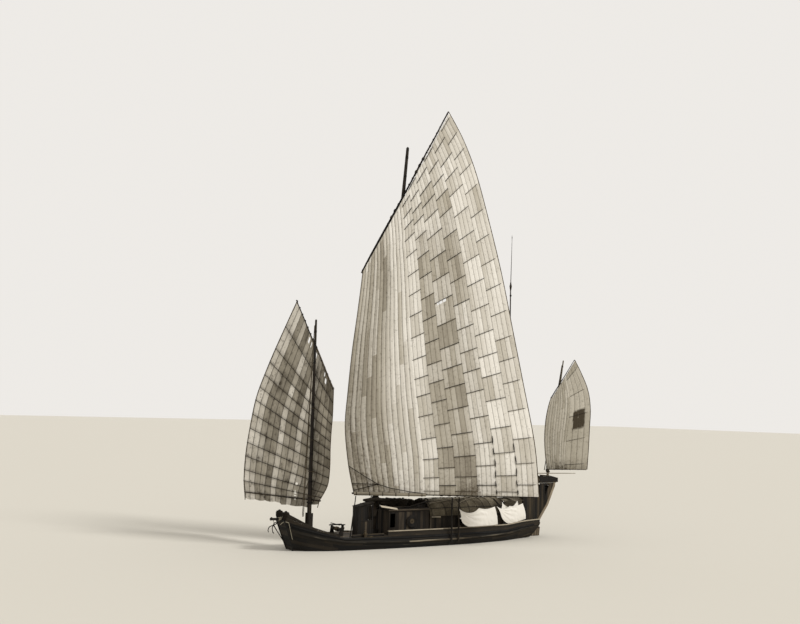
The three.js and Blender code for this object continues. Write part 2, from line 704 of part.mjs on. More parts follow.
/** Height of the underside of the shelter's roof, which rises aft. */
function shelterRoofAt(x) {
  const s = SHELTER;
  return THREE.MathUtils.mapLinear(x, s.x0 - s.eave, s.x1 + s.eave, s.roofFore, s.roofAft);
}

/** Upright plate of the shelter from one x to another, up to the sloping roof. */
function shelterPanel(x0, x1, y0, y1) {
  const floor = DECK_Z + GAP;
  const top = (x) => shelterRoofAt(x) - GAP;
  return sidePlate([[x0, floor], [x1, floor], [x1, top(x1)], [x0, top(x0)]], y0, y1);
}

/** Narrow shelter on the port side ahead of the mainmast, open aft and partly to port. */
function buildShelter() {
  const s = SHELTER;
  const postHalf = s.post / 2;
  const plankHalf = s.plank / 2;
  const lowTop = DECK_Z + 1050;
  const narrowAft = s.x0 + 560;
  const [portEdge, starboardEdge] = [s.port + postHalf, s.starboard - postHalf];
  const [inFore, inAft] = [s.x0 + 60, s.x1 - 60];
  const parts = [
    shelterPanel(inFore, inAft, starboardEdge - plankHalf, starboardEdge + plankHalf),
    shelterPanel(s.x0 + 20, s.x0 + 20 + s.plank, portEdge, starboardEdge),
    shelterPanel(inFore, narrowAft, portEdge - plankHalf, portEdge + plankHalf),
    box(inFore, inAft, portEdge - plankHalf, portEdge + plankHalf, DECK_Z + GAP, lowTop),
  ];
  for (const y of [portEdge, starboardEdge]) {
    for (const x of [s.x0 + postHalf, s.x1 - postHalf]) {
      parts.push(shelterPanel(x - postHalf, x + postHalf, y - postHalf, y + postHalf));
    }
  }
  addPiece('fore_shelter_frame', join(...parts), COLORS.house);
  const [roofX0, roofX1] = [s.x0 - s.eave, s.x1 + s.eave];
  addPiece('fore_shelter_roof', sidePlate([
    [roofX0, s.roofFore], [roofX1, s.roofAft], [roofX1, s.roofAft + s.roof], [roofX0, s.roofFore + s.roof],
  ], s.port - s.eave, s.starboard + s.eave), COLORS.house);
  const foot = new THREE.Vector3(s.poleFoot, s.poleY, DECK_Z + GAP);
  const pole = bar(foot, new THREE.Vector3(s.poleHead, s.poleY, s.poleTop), 42, 34, 8);
  addPiece('shelter_pole', cut(pole, box(-9000, 0, -2000, 0, 0, DECK_Z + GAP)), COLORS.spar);
}

/** Plank-walled house abaft the mainmast, with a door ahead and a window on each side. */
function buildHouse() {
  const h = HOUSE;
  const outer = box(h.x0, h.x1, -h.half, h.half, DECK_Z + GAP, h.wallTop);
  const inner = box(h.x0 + WALL_THICK, h.x1 - WALL_THICK, -h.half + WALL_THICK, h.half - WALL_THICK, 0, 5000);
  const doorway = box(h.x0 - 100, h.x0 + 100, DOOR.y0, DOOR.y1, DOOR.z0, DOOR.z1);
  const window = (y) => box(h.x0 + 90, h.x0 + 490, y - 100, y + 100, 1300, 2240);
  const inward = box(h.x1 - 100, h.x1 + 100, -350, 350, DECK_Z + 90, DECK_Z + 1420);
  addPiece('house_walls', cut(outer, inner, doorway, window(-h.half), window(h.half), inward), COLORS.house);
  const eaveX = h.x0 - h.eave;
  const crown = 110;
  const roof = endPlate([
    [-h.half - h.eave, h.wallTop + GAP], [h.half + h.eave, h.wallTop + GAP],
    [h.half + h.eave, h.wallTop + h.roof], [0, h.wallTop + h.roof + crown],
    [-h.half - h.eave, h.wallTop + h.roof],
  ], eaveX, h.x1 + 40);
  addPiece('house_roof', roof, COLORS.house);
  const middle = h.x0 + WALL_THICK / 2;
  addPiece('house_door', box(middle - DOOR.thick / 2, middle + DOOR.thick / 2,
    DOOR.y0 + DOOR.play, DOOR.y1 - DOOR.play, DOOR.z0 + GAP, DOOR.z1 - DOOR.play), COLORS.house);
}

/** Half-ellipse points in Y and Z from the port eave to the starboard eave. */
function archPoints(half, base, rise, steps) {
  const points = [];
  for (let k = 0; k <= steps; k += 1) {
    const angle = Math.PI - Math.PI * k / steps;
    points.push([half * Math.cos(angle), base + rise * Math.sin(angle)]);
  }
  return points;
}

/** Mat-covered house, with low plank walls, arched ends and a barrel roof. */
function buildMatHouse() {
  const m = MAT;
  const steps = 14;
  const roofHalf = m.half + m.eave;
  const outerArch = archPoints(roofHalf, m.wallTop, m.ridge - m.wallTop, steps);
  const innerArch = archPoints(roofHalf - m.shell, m.wallTop, m.ridge - m.wallTop - m.shell, steps).reverse();
  addPiece('mat_roof', endPlate([...outerArch, ...innerArch], m.x0 - 30, m.x1 + 150), COLORS.mat);
  const clear = 2 * GAP;
  const inside = m.shell + clear;
  const gable = archPoints(roofHalf - inside, m.wallTop, m.ridge - m.wallTop - inside, steps)
    .map(([y, z]) => [THREE.MathUtils.clamp(y, -m.half, m.half), z]);
  const endShape = [[m.half, DECK_Z + GAP], ...gable.reverse(), [-m.half, DECK_Z + GAP]];
  const side = (y0) => box(m.x0, m.x1, y0, y0 + WALL_THICK, DECK_Z + GAP, m.wallTop + 120);
  const walls = join(
    endPlate(endShape, m.x0, m.x0 + WALL_THICK), endPlate(endShape, m.x1 - WALL_THICK, m.x1),
    side(-m.half), side(m.half - WALL_THICK),
  );
  const doorway = (x) => box(x - 100, x + 100, -350, 350, DECK_Z + 90, DECK_Z + 1420);
  const window = (x, y) => box(x, x + 500, y - 100, y + 100, 1350, 1750);
  const windows = [];
  for (const y of [-m.half, m.half]) {
    for (const x of [2900, 5000]) {
      windows.push(window(x, y));
    }
  }
  addPiece('mat_house_walls', cut(walls, doorway(m.x0), doorway(m.x1), ...windows), COLORS.house);
}

/** Coils and gear heaped on the house roof, as one low rounded solid. */
function buildRoofHeap() {
  const z = HOUSE.wallTop + HOUSE.roof + 110 + GAP;
  const rings = [];
  const steps = 6;
  for (let k = 0; k <= steps; k += 1) {
    const f = k / steps;
    const grow = Math.sqrt(1 - 0.75 * (2 * f - 1) ** 2);
    const x = THREE.MathUtils.lerp(-2500, 420, f);
    rings.push([
      new THREE.Vector3(x, -720 * grow, z), new THREE.Vector3(x, -640 * grow, z + 380 * grow),
      new THREE.Vector3(x, -240 * grow, z + 580 * grow), new THREE.Vector3(x, 240 * grow, z + 560 * grow),
      new THREE.Vector3(x, 620 * grow, z + 360 * grow), new THREE.Vector3(x, 700 * grow, z),
    ]);
  }
  addPiece('roof_gear_heap', loft(rings), COLORS.rope);
}

/** Two dark posts that stand outside the port rail, held to the wale. */
function buildSidePosts() {
  const radius = 62;
  const strake = lowerWale(-1).translate(0, -GAP, 0);
  for (const [word, x] of [['fore', 1880], ['aft', 2480]]) {
    const s = hullSection(hullRow(x));
    const y = -s.waleHalf - WALE_PROUD - radius + 5;
    const post = bar(new THREE.Vector3(x, y, 250), new THREE.Vector3(x, y, 3250), radius, 50);
    addPiece(`side_post_${word}`, cut(post, strake), COLORS.spar);
  }
}

// Stern
const RUDDER = { x: 10850, rake: 6, stockR: 85, beamZ: 2050, beamTall: 160, headZ: 2480 };
// Roof boards between the quarter boards, over the tiller.
const STEER_ROOF = { x0: 9200, x1: 10680, z: 3060, thick: 55 };

/** Quarter boards round the tiller, the counter and roof between them, and the raked gallery they carry. */
function buildStern() {
  const outline = [
    [9050, deckAt(9050) + GAP], [10560, deckAt(10560) + GAP], [10910, 1640], [11490, 2420], [12150, 3810],
    [12200, WING.topZ], [10690, WING.topZ], [10690, 3150], [9050, 3130],
  ];
  const hole = [[11190, 3960], [11190, 3080], [11640, 3960]];
  addPiece('stern_wing_port', sidePlate(outline, -WING.outer, -WING.inner, [hole]), COLORS.rudder);
  addPiece('stern_wing_starboard', sidePlate(outline, WING.inner, WING.outer, [hole]), COLORS.rudder);
  const inner = WING.inner - GAP;
  const counter = sidePlate([[11480, 2720], [11530, 2690], [12050, 3790], [12000, 3815]], -inner, inner);
  addPiece('stern_counter', counter, COLORS.hull);
  const roof = STEER_ROOF;
  addPiece('steering_roof', box(roof.x0, roof.x1, -inner, inner, roof.z, roof.z + roof.thick), COLORS.house);
  const g = GALLERY;
  const z = WING.topZ + GAP;
  const boardHalf = 25;
  const boardY = g.half - boardHalf - 5;
  const outlineAbove = [
    [g.x0, z], [g.x1, z], [g.x1, g.railZ - g.aftDrop], [g.ridgeX, g.railZ - g.ridgeDrop], [g.x0, g.railZ],
  ];
  const parts = [box(g.x0, g.x1, -g.half, g.half, z, z + g.floor)];
  for (const side of [-1, 1]) {
    parts.push(sidePlate(outlineAbove, side * boardY - boardHalf, side * boardY + boardHalf));
    const [y0, y1] = side < 0 ? [-boardY, -g.gateHalf] : [g.gateHalf, boardY];
    parts.push(box(g.x1 - 90, g.x1 - 40, y0, y1, z, g.railZ - g.aftDrop));
  }
  addPiece('stern_gallery', join(...parts), COLORS.house);
}

/** Group along the rudder stock's axis. */
function rudderGroup() {
  const group = new THREE.Group();
  group.position.set(RUDDER.x, 0, 0);
  group.rotation.y = THREE.MathUtils.degToRad(RUDDER.rake);
  root.add(group);
  return group;
}

/** Bearing beam, rudder with its stock, and the tiller. */
function buildRudder() {
  const r = RUDDER;
  const inner = WING.inner - GAP;
  const group = rudderGroup();
  const onAxis = (z) => new THREE.Vector3(0, 0, z);
  const axisBar = (radius, z0, z1) => bar(onAxis(z0), onAxis(z1), radius, radius, 24);
  const plainBeam = box(-150, 150, -inner, inner, r.beamZ, r.beamZ + r.beamTall);
  const beam = cut(plainBeam, axisBar(r.stockR + 6, 0, 4000));
  addPiece('rudder_beam', beam, COLORS.spar, group);
  const blade = sidePlate([[-230, 640], [60, 1010], [620, 930], [820, -1080], [-220, -1250]], -38, 38);
  const collarZ = r.beamZ + r.beamTall + GAP;
  const collar = axisBar(r.stockR + 50, collarZ, collarZ + 70);
  const rudder = join(axisBar(r.stockR, -1240, r.headZ), collar, blade);
  addPiece('rudder', rudder, COLORS.rudder, group);
  const tillerZ = r.headZ + GAP + 48;
  const tiller = bar(new THREE.Vector3(180, 0, tillerZ), new THREE.Vector3(-1500, 0, tillerZ + 60), 60, 38);
  addPiece('tiller', cut(tiller, box(-5000, 5000, -500, 500, 0, r.headZ + GAP)), COLORS.trim, group);
}

/** Cloth hung above the port rail from x0 to x1, its lower edge just on the rail. */
function railCloth(x0, x1, top) {
  const rings = rowSteps(hullRow(x0), hullRow(x1), 1 / 3).map((t) => {
    const s = hullSection(t);
    const y = -s.half + 30;
    const low = s.deck + 3 * GAP + heightAt(WAIST_BULWARK, s.x) + CAP_THICK;
    return [
      new THREE.Vector3(s.x, y - 12, low), new THREE.Vector3(s.x, y - 12, top),
      new THREE.Vector3(s.x, y + 12, top), new THREE.Vector3(s.x, y + 12, low),
    ];
  });
  return loft(rings);
}

/** White cloths hung along the port rail, as plain thin solids. */
function buildCloths() {
  addPiece('hung_cloth_fore', railCloth(2750, 6100, 2520), COLORS.cloth);
  addPiece('hung_cloth_aft', railCloth(6450, 8700, 2580), COLORS.cloth);
}

/** Bundle of spare poles on the port side deck at the waist. */
function buildPoles() {
  const parts = [];
  const radius = 52;
  for (const [y, lift] of [[-1368, 0], [-1458, 0], [-1413, 78]]) {
    const z = DECK_Z + GAP + radius + lift;
    parts.push(bar(new THREE.Vector3(-5600, y, z), new THREE.Vector3(-3150, y, z), radius, radius * 0.9, 8));
  }
  addPiece('spare_poles', join(...parts), COLORS.trim);
}

buildHull();
buildSides();
buildBow();
buildMastSteps();
buildMast('foremast', FOREMAST, FORE_SAIL.shoulder);
buildMast('mainmast', MAINMAST, MAIN_SAIL.shoulder);
buildMast('mizzen_mast', MIZZENMAST, MIZZEN_SAIL.shoulder);
buildVaneMast();
buildSail(FORE_SAIL);
buildSail(MAIN_SAIL);
buildSail(MIZZEN_SAIL);
buildWindlass();
buildBitts();
buildShelter();
buildHouse();
buildMatHouse();
buildRoofHeap();
buildSidePosts();
buildStern();
buildRudder();
buildCloths();
buildPoles();

export default root;
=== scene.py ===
"""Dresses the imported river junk: planked hull, battened sails, houses, rigging and gear."""
import logging
import math
import random
from dataclasses import dataclass, field
from enum import Enum
from math import acos, atan2, copysign, cos, hypot, pi, radians, sin, sqrt
from typing import Callable, Sequence

import bpy
import numpy as np
from mathutils import Matrix, Vector, noise


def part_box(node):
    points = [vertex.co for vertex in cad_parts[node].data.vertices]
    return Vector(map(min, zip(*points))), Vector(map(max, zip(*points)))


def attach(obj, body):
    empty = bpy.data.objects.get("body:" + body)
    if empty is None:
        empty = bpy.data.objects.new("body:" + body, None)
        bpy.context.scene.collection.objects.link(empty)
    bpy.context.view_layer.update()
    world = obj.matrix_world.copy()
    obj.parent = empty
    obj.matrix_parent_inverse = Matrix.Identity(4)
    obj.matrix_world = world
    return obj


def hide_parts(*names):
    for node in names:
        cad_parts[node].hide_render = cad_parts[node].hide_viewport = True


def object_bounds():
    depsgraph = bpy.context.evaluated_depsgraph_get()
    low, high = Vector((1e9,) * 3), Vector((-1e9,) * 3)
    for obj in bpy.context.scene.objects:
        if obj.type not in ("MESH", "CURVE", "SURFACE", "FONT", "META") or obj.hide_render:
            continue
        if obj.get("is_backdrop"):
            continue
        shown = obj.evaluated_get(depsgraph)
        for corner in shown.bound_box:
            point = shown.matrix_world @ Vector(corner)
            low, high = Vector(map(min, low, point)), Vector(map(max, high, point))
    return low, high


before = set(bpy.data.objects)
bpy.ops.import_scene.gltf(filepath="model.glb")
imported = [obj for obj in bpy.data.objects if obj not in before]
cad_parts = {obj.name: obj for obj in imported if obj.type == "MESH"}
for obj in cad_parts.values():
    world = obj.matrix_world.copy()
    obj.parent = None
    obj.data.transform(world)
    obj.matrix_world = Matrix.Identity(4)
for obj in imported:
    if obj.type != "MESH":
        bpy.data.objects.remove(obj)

log = logging.getLogger("junk")

Socket = bpy.types.NodeSocket
Object = bpy.types.Object
Point = Sequence[float]
Pairs = Sequence[tuple[float, float]]

UP = Vector((0, 0, 1))
AFT = Vector((1, 0, 0))
STARBOARD = Vector((0, 1, 0))
SIDES = (("port", -1), ("starboard", 1))
PUSH_SHIFTS = (Vector((9.3, -1.5, -7.9)), Vector((0, 0, 0)), Vector((6.3, 0.2, -2.7)))
COIL_STEPS = 14
GRAIN_SPAN = 60.0


def tint(code: str) -> tuple[float, ...]:
    """Linear colour of a hex colour code, with full alpha."""
    parts = [int(code[k:k + 2], 16) / 255 for k in (1, 3, 5)]
    return (*(c / 12.92 if c <= 0.04045 else ((c + 0.055) / 1.055) ** 2.4 for c in parts), 1.0)


def lerp(a: float, b: float, share: float) -> float:
    """Value a share of the way from a to b."""
    return a + (b - a) * share


def stations(start: float, end: float, step: float) -> list[float]:
    """Evenly spread numbers from start to end, about a step apart."""
    count = max(1, round(abs(end - start) / step))
    return [lerp(start, end, k / count) for k in range(count + 1)]


def circle(count: int) -> list[tuple[float, float]]:
    """Cosine and sine of evenly spread angles round a circle."""
    return [(cos(a), sin(a)) for a in (2 * pi * k / count for k in range(count))]


def wobble(x: float, y: float, z: float) -> float:
    """Smooth noise at a place, from -1 to 1."""
    return noise.noise(Vector((x, y, z)))


def push(place: Vector) -> Vector:
    """Smooth noise at a place as a vector, the same in every run."""
    return Vector([noise.noise(place + shift) for shift in PUSH_SHIFTS])


def leaning(x: float, y: float, degrees: float) -> Matrix:
    """Frame that stands at x and y and leans aft by an angle."""
    return Matrix.Translation((x, y, 0)) @ Matrix.Rotation(radians(degrees), 4, "Y")


def table_value(rows: Sequence[Point], x: float) -> float:
    """Straight-line value of a table of pairs at x, held at the table's ends."""
    if x <= rows[0][0]:
        return rows[0][1]
    for low, high in zip(rows, rows[1:]):
        if x <= high[0]:
            return lerp(low[1], high[1], (x - low[0]) / (high[0] - low[0]))
    return rows[-1][1]


def smooth_value(rows: Sequence[Point], column: int, t: float) -> float:
    """Value of the smooth curve through a column of a table, at a row position."""
    last = len(rows) - 1
    i = min(int(t), last - 1)
    f = t - i
    at = lambda k: rows[max(0, min(last, k))][column]
    before = (at(i + 1) - at(i - 1)) / 2
    after = (at(i + 2) - at(i)) / 2
    h = f * f * (3 - 2 * f)
    return at(i) * (1 - h) + at(i + 1) * h + before * f * (1 - f) ** 2 - after * f * f * (1 - f)


class Shader:
    """Node tree of one material, with short calls for the nodes that the finishes share."""

    def __init__(self, name: str, roughness: float, specular: float, sheen: float = 0.0) -> None:
        """Starts a material with one principled shader."""
        self.material = bpy.data.materials.new(name)
        self.material.use_nodes = True
        self.tree = self.material.node_tree
        self.surface = self.tree.nodes["Principled BSDF"].inputs
        self.surface["Roughness"].default_value = roughness
        self.surface["Specular IOR Level"].default_value = specular
        self.surface["Sheen Weight"].default_value = sheen

    def node(self, kind: str, *inputs: object, output: int | str = 0, **settings: object) -> Socket:
        """Adds a node and feeds it.

        Args:
            kind: Kind of the shader node.
            inputs: Numbers, hex colours or sockets for its inputs in order; None leaves one alone.
            output: The output that is given back.
            settings: Properties of the node.

        Returns:
            The output socket.
        """
        made = self.tree.nodes.new(f"ShaderNode{kind}")
        for key, value in settings.items():
            setattr(made, key, value)
        for socket, value in zip(made.inputs, inputs):
            if isinstance(value, Socket):
                self.tree.links.new(value, socket)
            elif value is not None:
                socket.default_value = tint(value) if isinstance(value, str) else value
        return made.outputs[output]

    def place(self) -> Socket:
        """Position in the object."""
        return self.node("TexCoord", output="Object")

    def held(self, name: str, output: str = "Vector") -> Socket:
        """What the mesh holds under a name, as a vector or a number."""
        return self.node("Attribute", output=output, attribute_name=name)

    def part(self, vector: Socket, axis: int) -> Socket:
        """One component of a vector."""
        return self.node("SeparateXYZ", vector, output=axis)

    def noise(self, vector: Socket, scale: float, detail: float = 4.0, roughness: float = 0.55,
              stretch: Point | None = None) -> Socket:
        """Cloudy noise from 0 to 1 over a vector, whose axes can be stretched first."""
        if stretch:
            vector = self.node("VectorMath", vector, stretch, operation="MULTIPLY")
        return self.node("TexNoise", vector, None, scale, detail, roughness)

    def math(self, operation: str, *values: object) -> Socket:
        """Result of a math node."""
        return self.node("Math", *values, operation=operation)

    def off_middle(self, value: Socket) -> Socket:
        """Distance from the middle of each whole step, from 0 to 0.5."""
        return self.math("ABSOLUTE", self.math("SUBTRACT", self.math("FRACT", value), 0.5))

    def total(self, *terms: tuple[Socket, float]) -> Socket:
        """Sum of sockets, each times its share."""
        sum_up, *rest = [self.math("MULTIPLY", *term) for term in terms]
        for term in rest:
            sum_up = self.math("ADD", sum_up, term)
        return sum_up

    def spread(self, value: Socket, low: float, high: float, to_low: float = 0.0,
               to_high: float = 1.0) -> Socket:
        """The value mapped from one range to another, held at its ends."""
        return self.node("MapRange", value, low, high, to_low, to_high)

    def ramp(self, value: Socket, *stops: tuple[float, str]) -> Socket:
        """Colour of a value along a row of stops."""
        made = self.node("ValToRGB", value)
        elements = made.node.color_ramp.elements
        while len(elements) < len(stops):
            elements.new(1.0)
        for element, (place, color) in zip(elements, stops):
            element.position = place
            element.color = tint(color)
        return made

    def mix(self, share: Socket, a: Socket | str, b: Socket | str) -> Socket:
        """Colour mixed from two colours; share is how much of the second shows."""
        return self.node("Mix", share, *[None] * 5, a, b, output=2, data_type="RGBA")

    def finish(self, color: Socket, height: Socket, depth: float,
               roughness: Socket | None = None) -> bpy.types.Material:
        """Links colour, relief and roughness to the shader.

        Args:
            color: Base colour.
            height: Relief from 0 to 1.
            depth: Height of the relief in metres.
            roughness: Roughness, where it varies over the surface.

        Returns:
            The material.
        """
        bump = self.node("Bump", 1.0, depth)
        for source, socket in ((color, self.surface["Base Color"]), (height, bump.node.inputs["Height"]),
                               (bump, self.surface["Normal"]), (roughness, self.surface["Roughness"])):
            if source:
                self.tree.links.new(source, socket)
        return self.material


@dataclass(frozen=True)
class Finish:
    """A surface finish that makes its material once, with its slot and its colours from dark to light."""

    name: str
    slot: str
    colors: Sequence[str]

    def material(self) -> bpy.types.Material:
        """The finish's material, made at its first use."""
        return bpy.data.materials.get(self.name) or self.make()

    def make(self) -> bpy.types.Material:
        """Builds the node tree."""
        raise NotImplementedError


@dataclass(frozen=True)
class WeatheredWood(Finish):
    """Wood with grain, dark stains, dry grey streaks, a tone for each plank and a top colour for the highest
    tones, used on the hull as painted reflected light.
    """

    fineness: float = 16.0
    dryness: float = 0.5
    reflected_light: str = ""
    roughness: float = 0.8

    def make(self) -> bpy.types.Material:
        """Builds the node tree."""
        s = Shader(self.name, self.roughness, 0.25)
        dark, middle, light = self.colors
        place = s.held("grain")
        fibre = s.noise(place, 1.6, 6.0, 0.6, (0.5, self.fineness, self.fineness))
        cloud = s.noise(place, 0.7, 3.0)
        streak = s.noise(place, 1.3, 3.0, stretch=(0.25, 5.0, 5.0))
        crack = s.spread(s.noise(place, 1.2, 2.0, stretch=(0.6, 26.0, 26.0)), 0.32, 0.4)
        value = s.total((fibre, 0.45), (cloud, 0.55), (s.held("tone", "Fac"), 0.22))
        # the highest values take the top colour, which on the hull is painted reflected light
        color = s.ramp(value, (0.28, dark), (0.5, middle), (0.78, light), (1, self.reflected_light or light))
        color = s.mix(s.spread(streak, 0.56, 0.72, 0.0, self.dryness), color, light)
        color = s.mix(s.spread(crack, 0.0, 1.0, 0.55, 0.0), color, dark)
        rough = s.spread(cloud, 0.3, 0.7, self.roughness - 0.12, min(1.0, self.roughness + 0.1))
        return s.finish(color, s.total((fibre, 0.6), (crack, 0.4)), 0.004, rough)


@dataclass(frozen=True)
class SailCloth(Finish):
    """Old patched cotton cloth with a tone for each panel, seams, dirt, painted shade in the folds and a
    coarse weave.
    """

    seam: float = 0.5
    spot: float = 5.5
    blot: float = 0.45

    def make(self) -> bpy.types.Material:
        """Builds the node tree."""
        s = Shader(self.name, 0.92, 0.12, 0.15)
        dark, middle, light, stain = self.colors
        cloth, place = s.held("cloth"), s.place()
        edge = s.off_middle(s.part(cloth, 0))
        seam, hem = s.spread(edge, 0.455, 0.485), s.spread(edge, 0.4, 0.43)
        streak = s.noise(cloth, 1.0, 5.0, 0.6, (2.6, 0.22, 1))
        cloud = s.noise(place, 0.55, 5.0, 0.62)
        spots = s.noise(place, self.spot, 4.0, 0.65)
        value = s.total((s.held("tone", "Fac"), 0.62), (streak, 0.22), (cloud, 0.16))
        color = s.ramp(value, (0.12, dark), (0.48, middle), (0.88, light))
        # the dirt attribute holds dirt plus painted shade in the folds between strips; both darken towards
        # the stain colour
        dirt = s.math("MULTIPLY", s.held("dirt", "Fac"), s.spread(spots, 0.3, 0.72, 0.35, 1.0))
        dirt.node.use_clamp = True
        blot = s.math("MULTIPLY", s.spread(spots, 0.56, 0.76), self.blot)
        for share in (dirt, blot, s.math("MULTIPLY", seam, self.seam)):
            color = s.mix(share, color, stain)
        color = s.mix(s.math("MULTIPLY", s.math("SUBTRACT", hem, seam), self.seam * 0.3), color, dark)
        weave = s.noise(cloth, 1.0, 2.0, stretch=(40.0, 14.0, 1.0))
        return s.finish(color, s.total((weave, 0.12), (hem, 0.4), (streak, 0.5)), 0.02)


@dataclass(frozen=True)
class Matting(Finish):
    """Woven bamboo matting: a basket weave of flat strips over the piece's grain coordinates."""

    strip: float = 0.05

    def make(self) -> bpy.types.Material:
        """Builds the node tree."""
        s = Shader(self.name, 0.85, 0.2)
        dark, middle, light = self.colors
        place = s.held("grain")
        x, y = (s.math("DIVIDE", s.part(place, axis), self.strip) for axis in (0, 1))
        check = s.math("MODULO", s.math("ADD", s.math("FLOOR", x), s.math("FLOOR", y)), 2.0)
        check = s.math("ABSOLUTE", check)
        picked = s.node("Mix", check, None, s.off_middle(x), s.off_middle(y))
        crown = s.spread(picked, 0.3, 0.5, 1.0, 0.0)
        cloud = s.noise(place, 0.9, 5.0, 0.6)
        fine = s.noise(place, 1.0, 3.0, stretch=(30.0, 30.0, 30.0))
        value = s.total((cloud, 0.7), (crown, 0.16), (check, 0.07))
        color = s.ramp(value, (0.3, dark), (0.52, middle), (0.8, light))
        soot = s.spread(s.noise(place, 0.45, 3.0), 0.5, 0.68, 0.0, 0.6)
        return s.finish(s.mix(soot, color, dark), s.total((crown, 0.8), (fine, 0.2)), 0.008)


@dataclass(frozen=True)
class Rope(Finish):
    """Laid rope, with strands that wind round the grain's axis."""

    def make(self) -> bpy.types.Material:
        """Builds the node tree."""
        s = Shader(self.name, 0.9, 0.15)
        place = s.held("grain")
        turn = s.total((s.part(place, 0), 26), (s.part(place, 1), 30))
        strand = s.math("ABSOLUTE", s.math("SINE", turn))
        fibre = s.noise(place, 1.0, 3.0, stretch=(14.0, 60.0, 60.0))
        value = s.total((strand, 0.5), (fibre, 0.5))
        return s.finish(s.ramp(value, (0.2, self.colors[0]), (0.85, self.colors[1])), value, 0.006)


@dataclass(frozen=True)
class WhiteCotton(Finish):
    """Clean loose cotton with a fine weave and faint dirt at its lower edge."""

    def make(self) -> bpy.types.Material:
        """Builds the node tree."""
        s = Shader(self.name, 0.9, 0.1, 0.2)
        shade, light = self.colors
        cloth, place = s.held("cloth"), s.place()
        cloud = s.noise(place, 1.6, 4.0)
        dirt = s.math("MULTIPLY", s.spread(s.part(cloth, 1), 0.0, 0.35, 0.5, 0.0), cloud)
        color = s.mix(dirt, s.mix(s.math("MULTIPLY", cloud, 0.25), light, shade), shade)
        weave = s.noise(cloth, 1.0, 2.0, stretch=(160.0, 160.0, 1.0))
        crease = s.noise(cloth, 1.0, 3.0, stretch=(4.0, 1.1, 1.0))
        return s.finish(color, s.total((weave, 0.2), (crease, 1)), 0.01)


@dataclass(frozen=True)
class RustedIron(Finish):
    """Dark wrought iron under patchy rust."""

    def make(self) -> bpy.types.Material:
        """Builds the node tree."""
        s = Shader(self.name, 0.7, 0.4)
        patch = s.noise(s.place(), 5.0, 6.0, 0.65)
        pits = s.noise(s.place(), 42.0, 4.0, 0.6)
        value = s.total((patch, 0.7), (pits, 0.3))
        color = s.ramp(value, *zip((0.38, 0.55, 0.72), self.colors))
        return s.finish(color, value, 0.004, s.spread(patch, 0.35, 0.65, 0.5, 0.92))


@dataclass(frozen=True)
class PaleGround(Finish):
    """Plain pale floor."""

    def make(self) -> bpy.types.Material:
        """Builds the node tree."""
        s = Shader(self.name, 0.9, 0.1)
        s.surface["Base Color"].default_value = tint(self.colors[0])
        return s.material


# the hull's top colour is painted light reflected onto the stern quarter, shown on the strakes abaft the
# stern joint
HULL_WOOD = WeatheredWood("hull_planks", "hull_wood", ("#050403", "#100d08", "#2c251b"), dryness=0.25,
                          reflected_light="#6e6250")
DECK_WOOD = WeatheredWood("deck_planks", "hull_wood", ("#17130d", "#332b20", "#655a49"))
TRIM_WOOD = WeatheredWood("pale_rail", "trim_wood", ("#4a4234", "#7d7362", "#b5ab98"))
SPAR_WOOD = WeatheredWood("spar_timber", "spar_wood", ("#0a0805", "#1d1710", "#463c2d"), 22.0, 0.3)
HOUSE_WOOD = WeatheredWood("house_boards", "house_wood", ("#0b0805", "#1f1911", "#463d31"), dryness=0.25)
STERN_WOOD = WeatheredWood("stern_boards", "rudder_wood", ("#2e271b", "#65594a", "#998d78"))
QUARTER_WOOD = WeatheredWood("quarter_boards", "rudder_wood", ("#0b0906", "#1d1810", "#453b2c"), dryness=0.25)
BATTEN_WOOD = WeatheredWood("batten_bamboo", "batten_wood", ("#0c0906", "#231c13", "#4a4030"), 24.0)
POLE_WOOD = WeatheredWood("bamboo_pole", "spar_wood", ("#2e281c", "#575041", "#8a8272"), 22.0)
WALE_WOOD = WeatheredWood("wale_wood", "spar_wood", ("#151109", "#40382b", "#8d8370"), 12.0, 0.7)
MAIN_CLOTH = SailCloth("main_sail_cloth", "sail", ("#675e50", "#b4ad9e", "#f2eee6", "#4d4436"), 0.6)
FORE_CLOTH = SailCloth("fore_sail_cloth", "sail", ("#4f483b", "#aaa394", "#f2ede3", "#352d22"), 0.8, 3.2, 0.8)
MIZZEN_CLOTH = SailCloth("mizzen_sail_cloth", "sail", ("#433c30", "#a39c8c", "#d0cabd", "#40382b"), 0.6)
MATTING = Matting("bamboo_matting", "mat", ("#1c170f", "#4b4334", "#9a917d"))
HEMP = Rope("hemp_rope", "rope", ("#211b13", "#5a4f3d"))
DARK_ROPE = Rope("tarred_rope", "rope", ("#080604", "#231d14"))
PALE_ROPE = Rope("pale_rope", "rope", ("#6b6250", "#b3ab98"))
COTTON = WhiteCotton("white_cotton", "white_cloth", ("#b8b1a3", "#e2ded6"))
IRON = RustedIron("rusted_iron", "iron", ("#0d0b09", "#221912", "#463528"))
GROUND = PaleGround("pale_floor", "", ("#c4c0b6",))


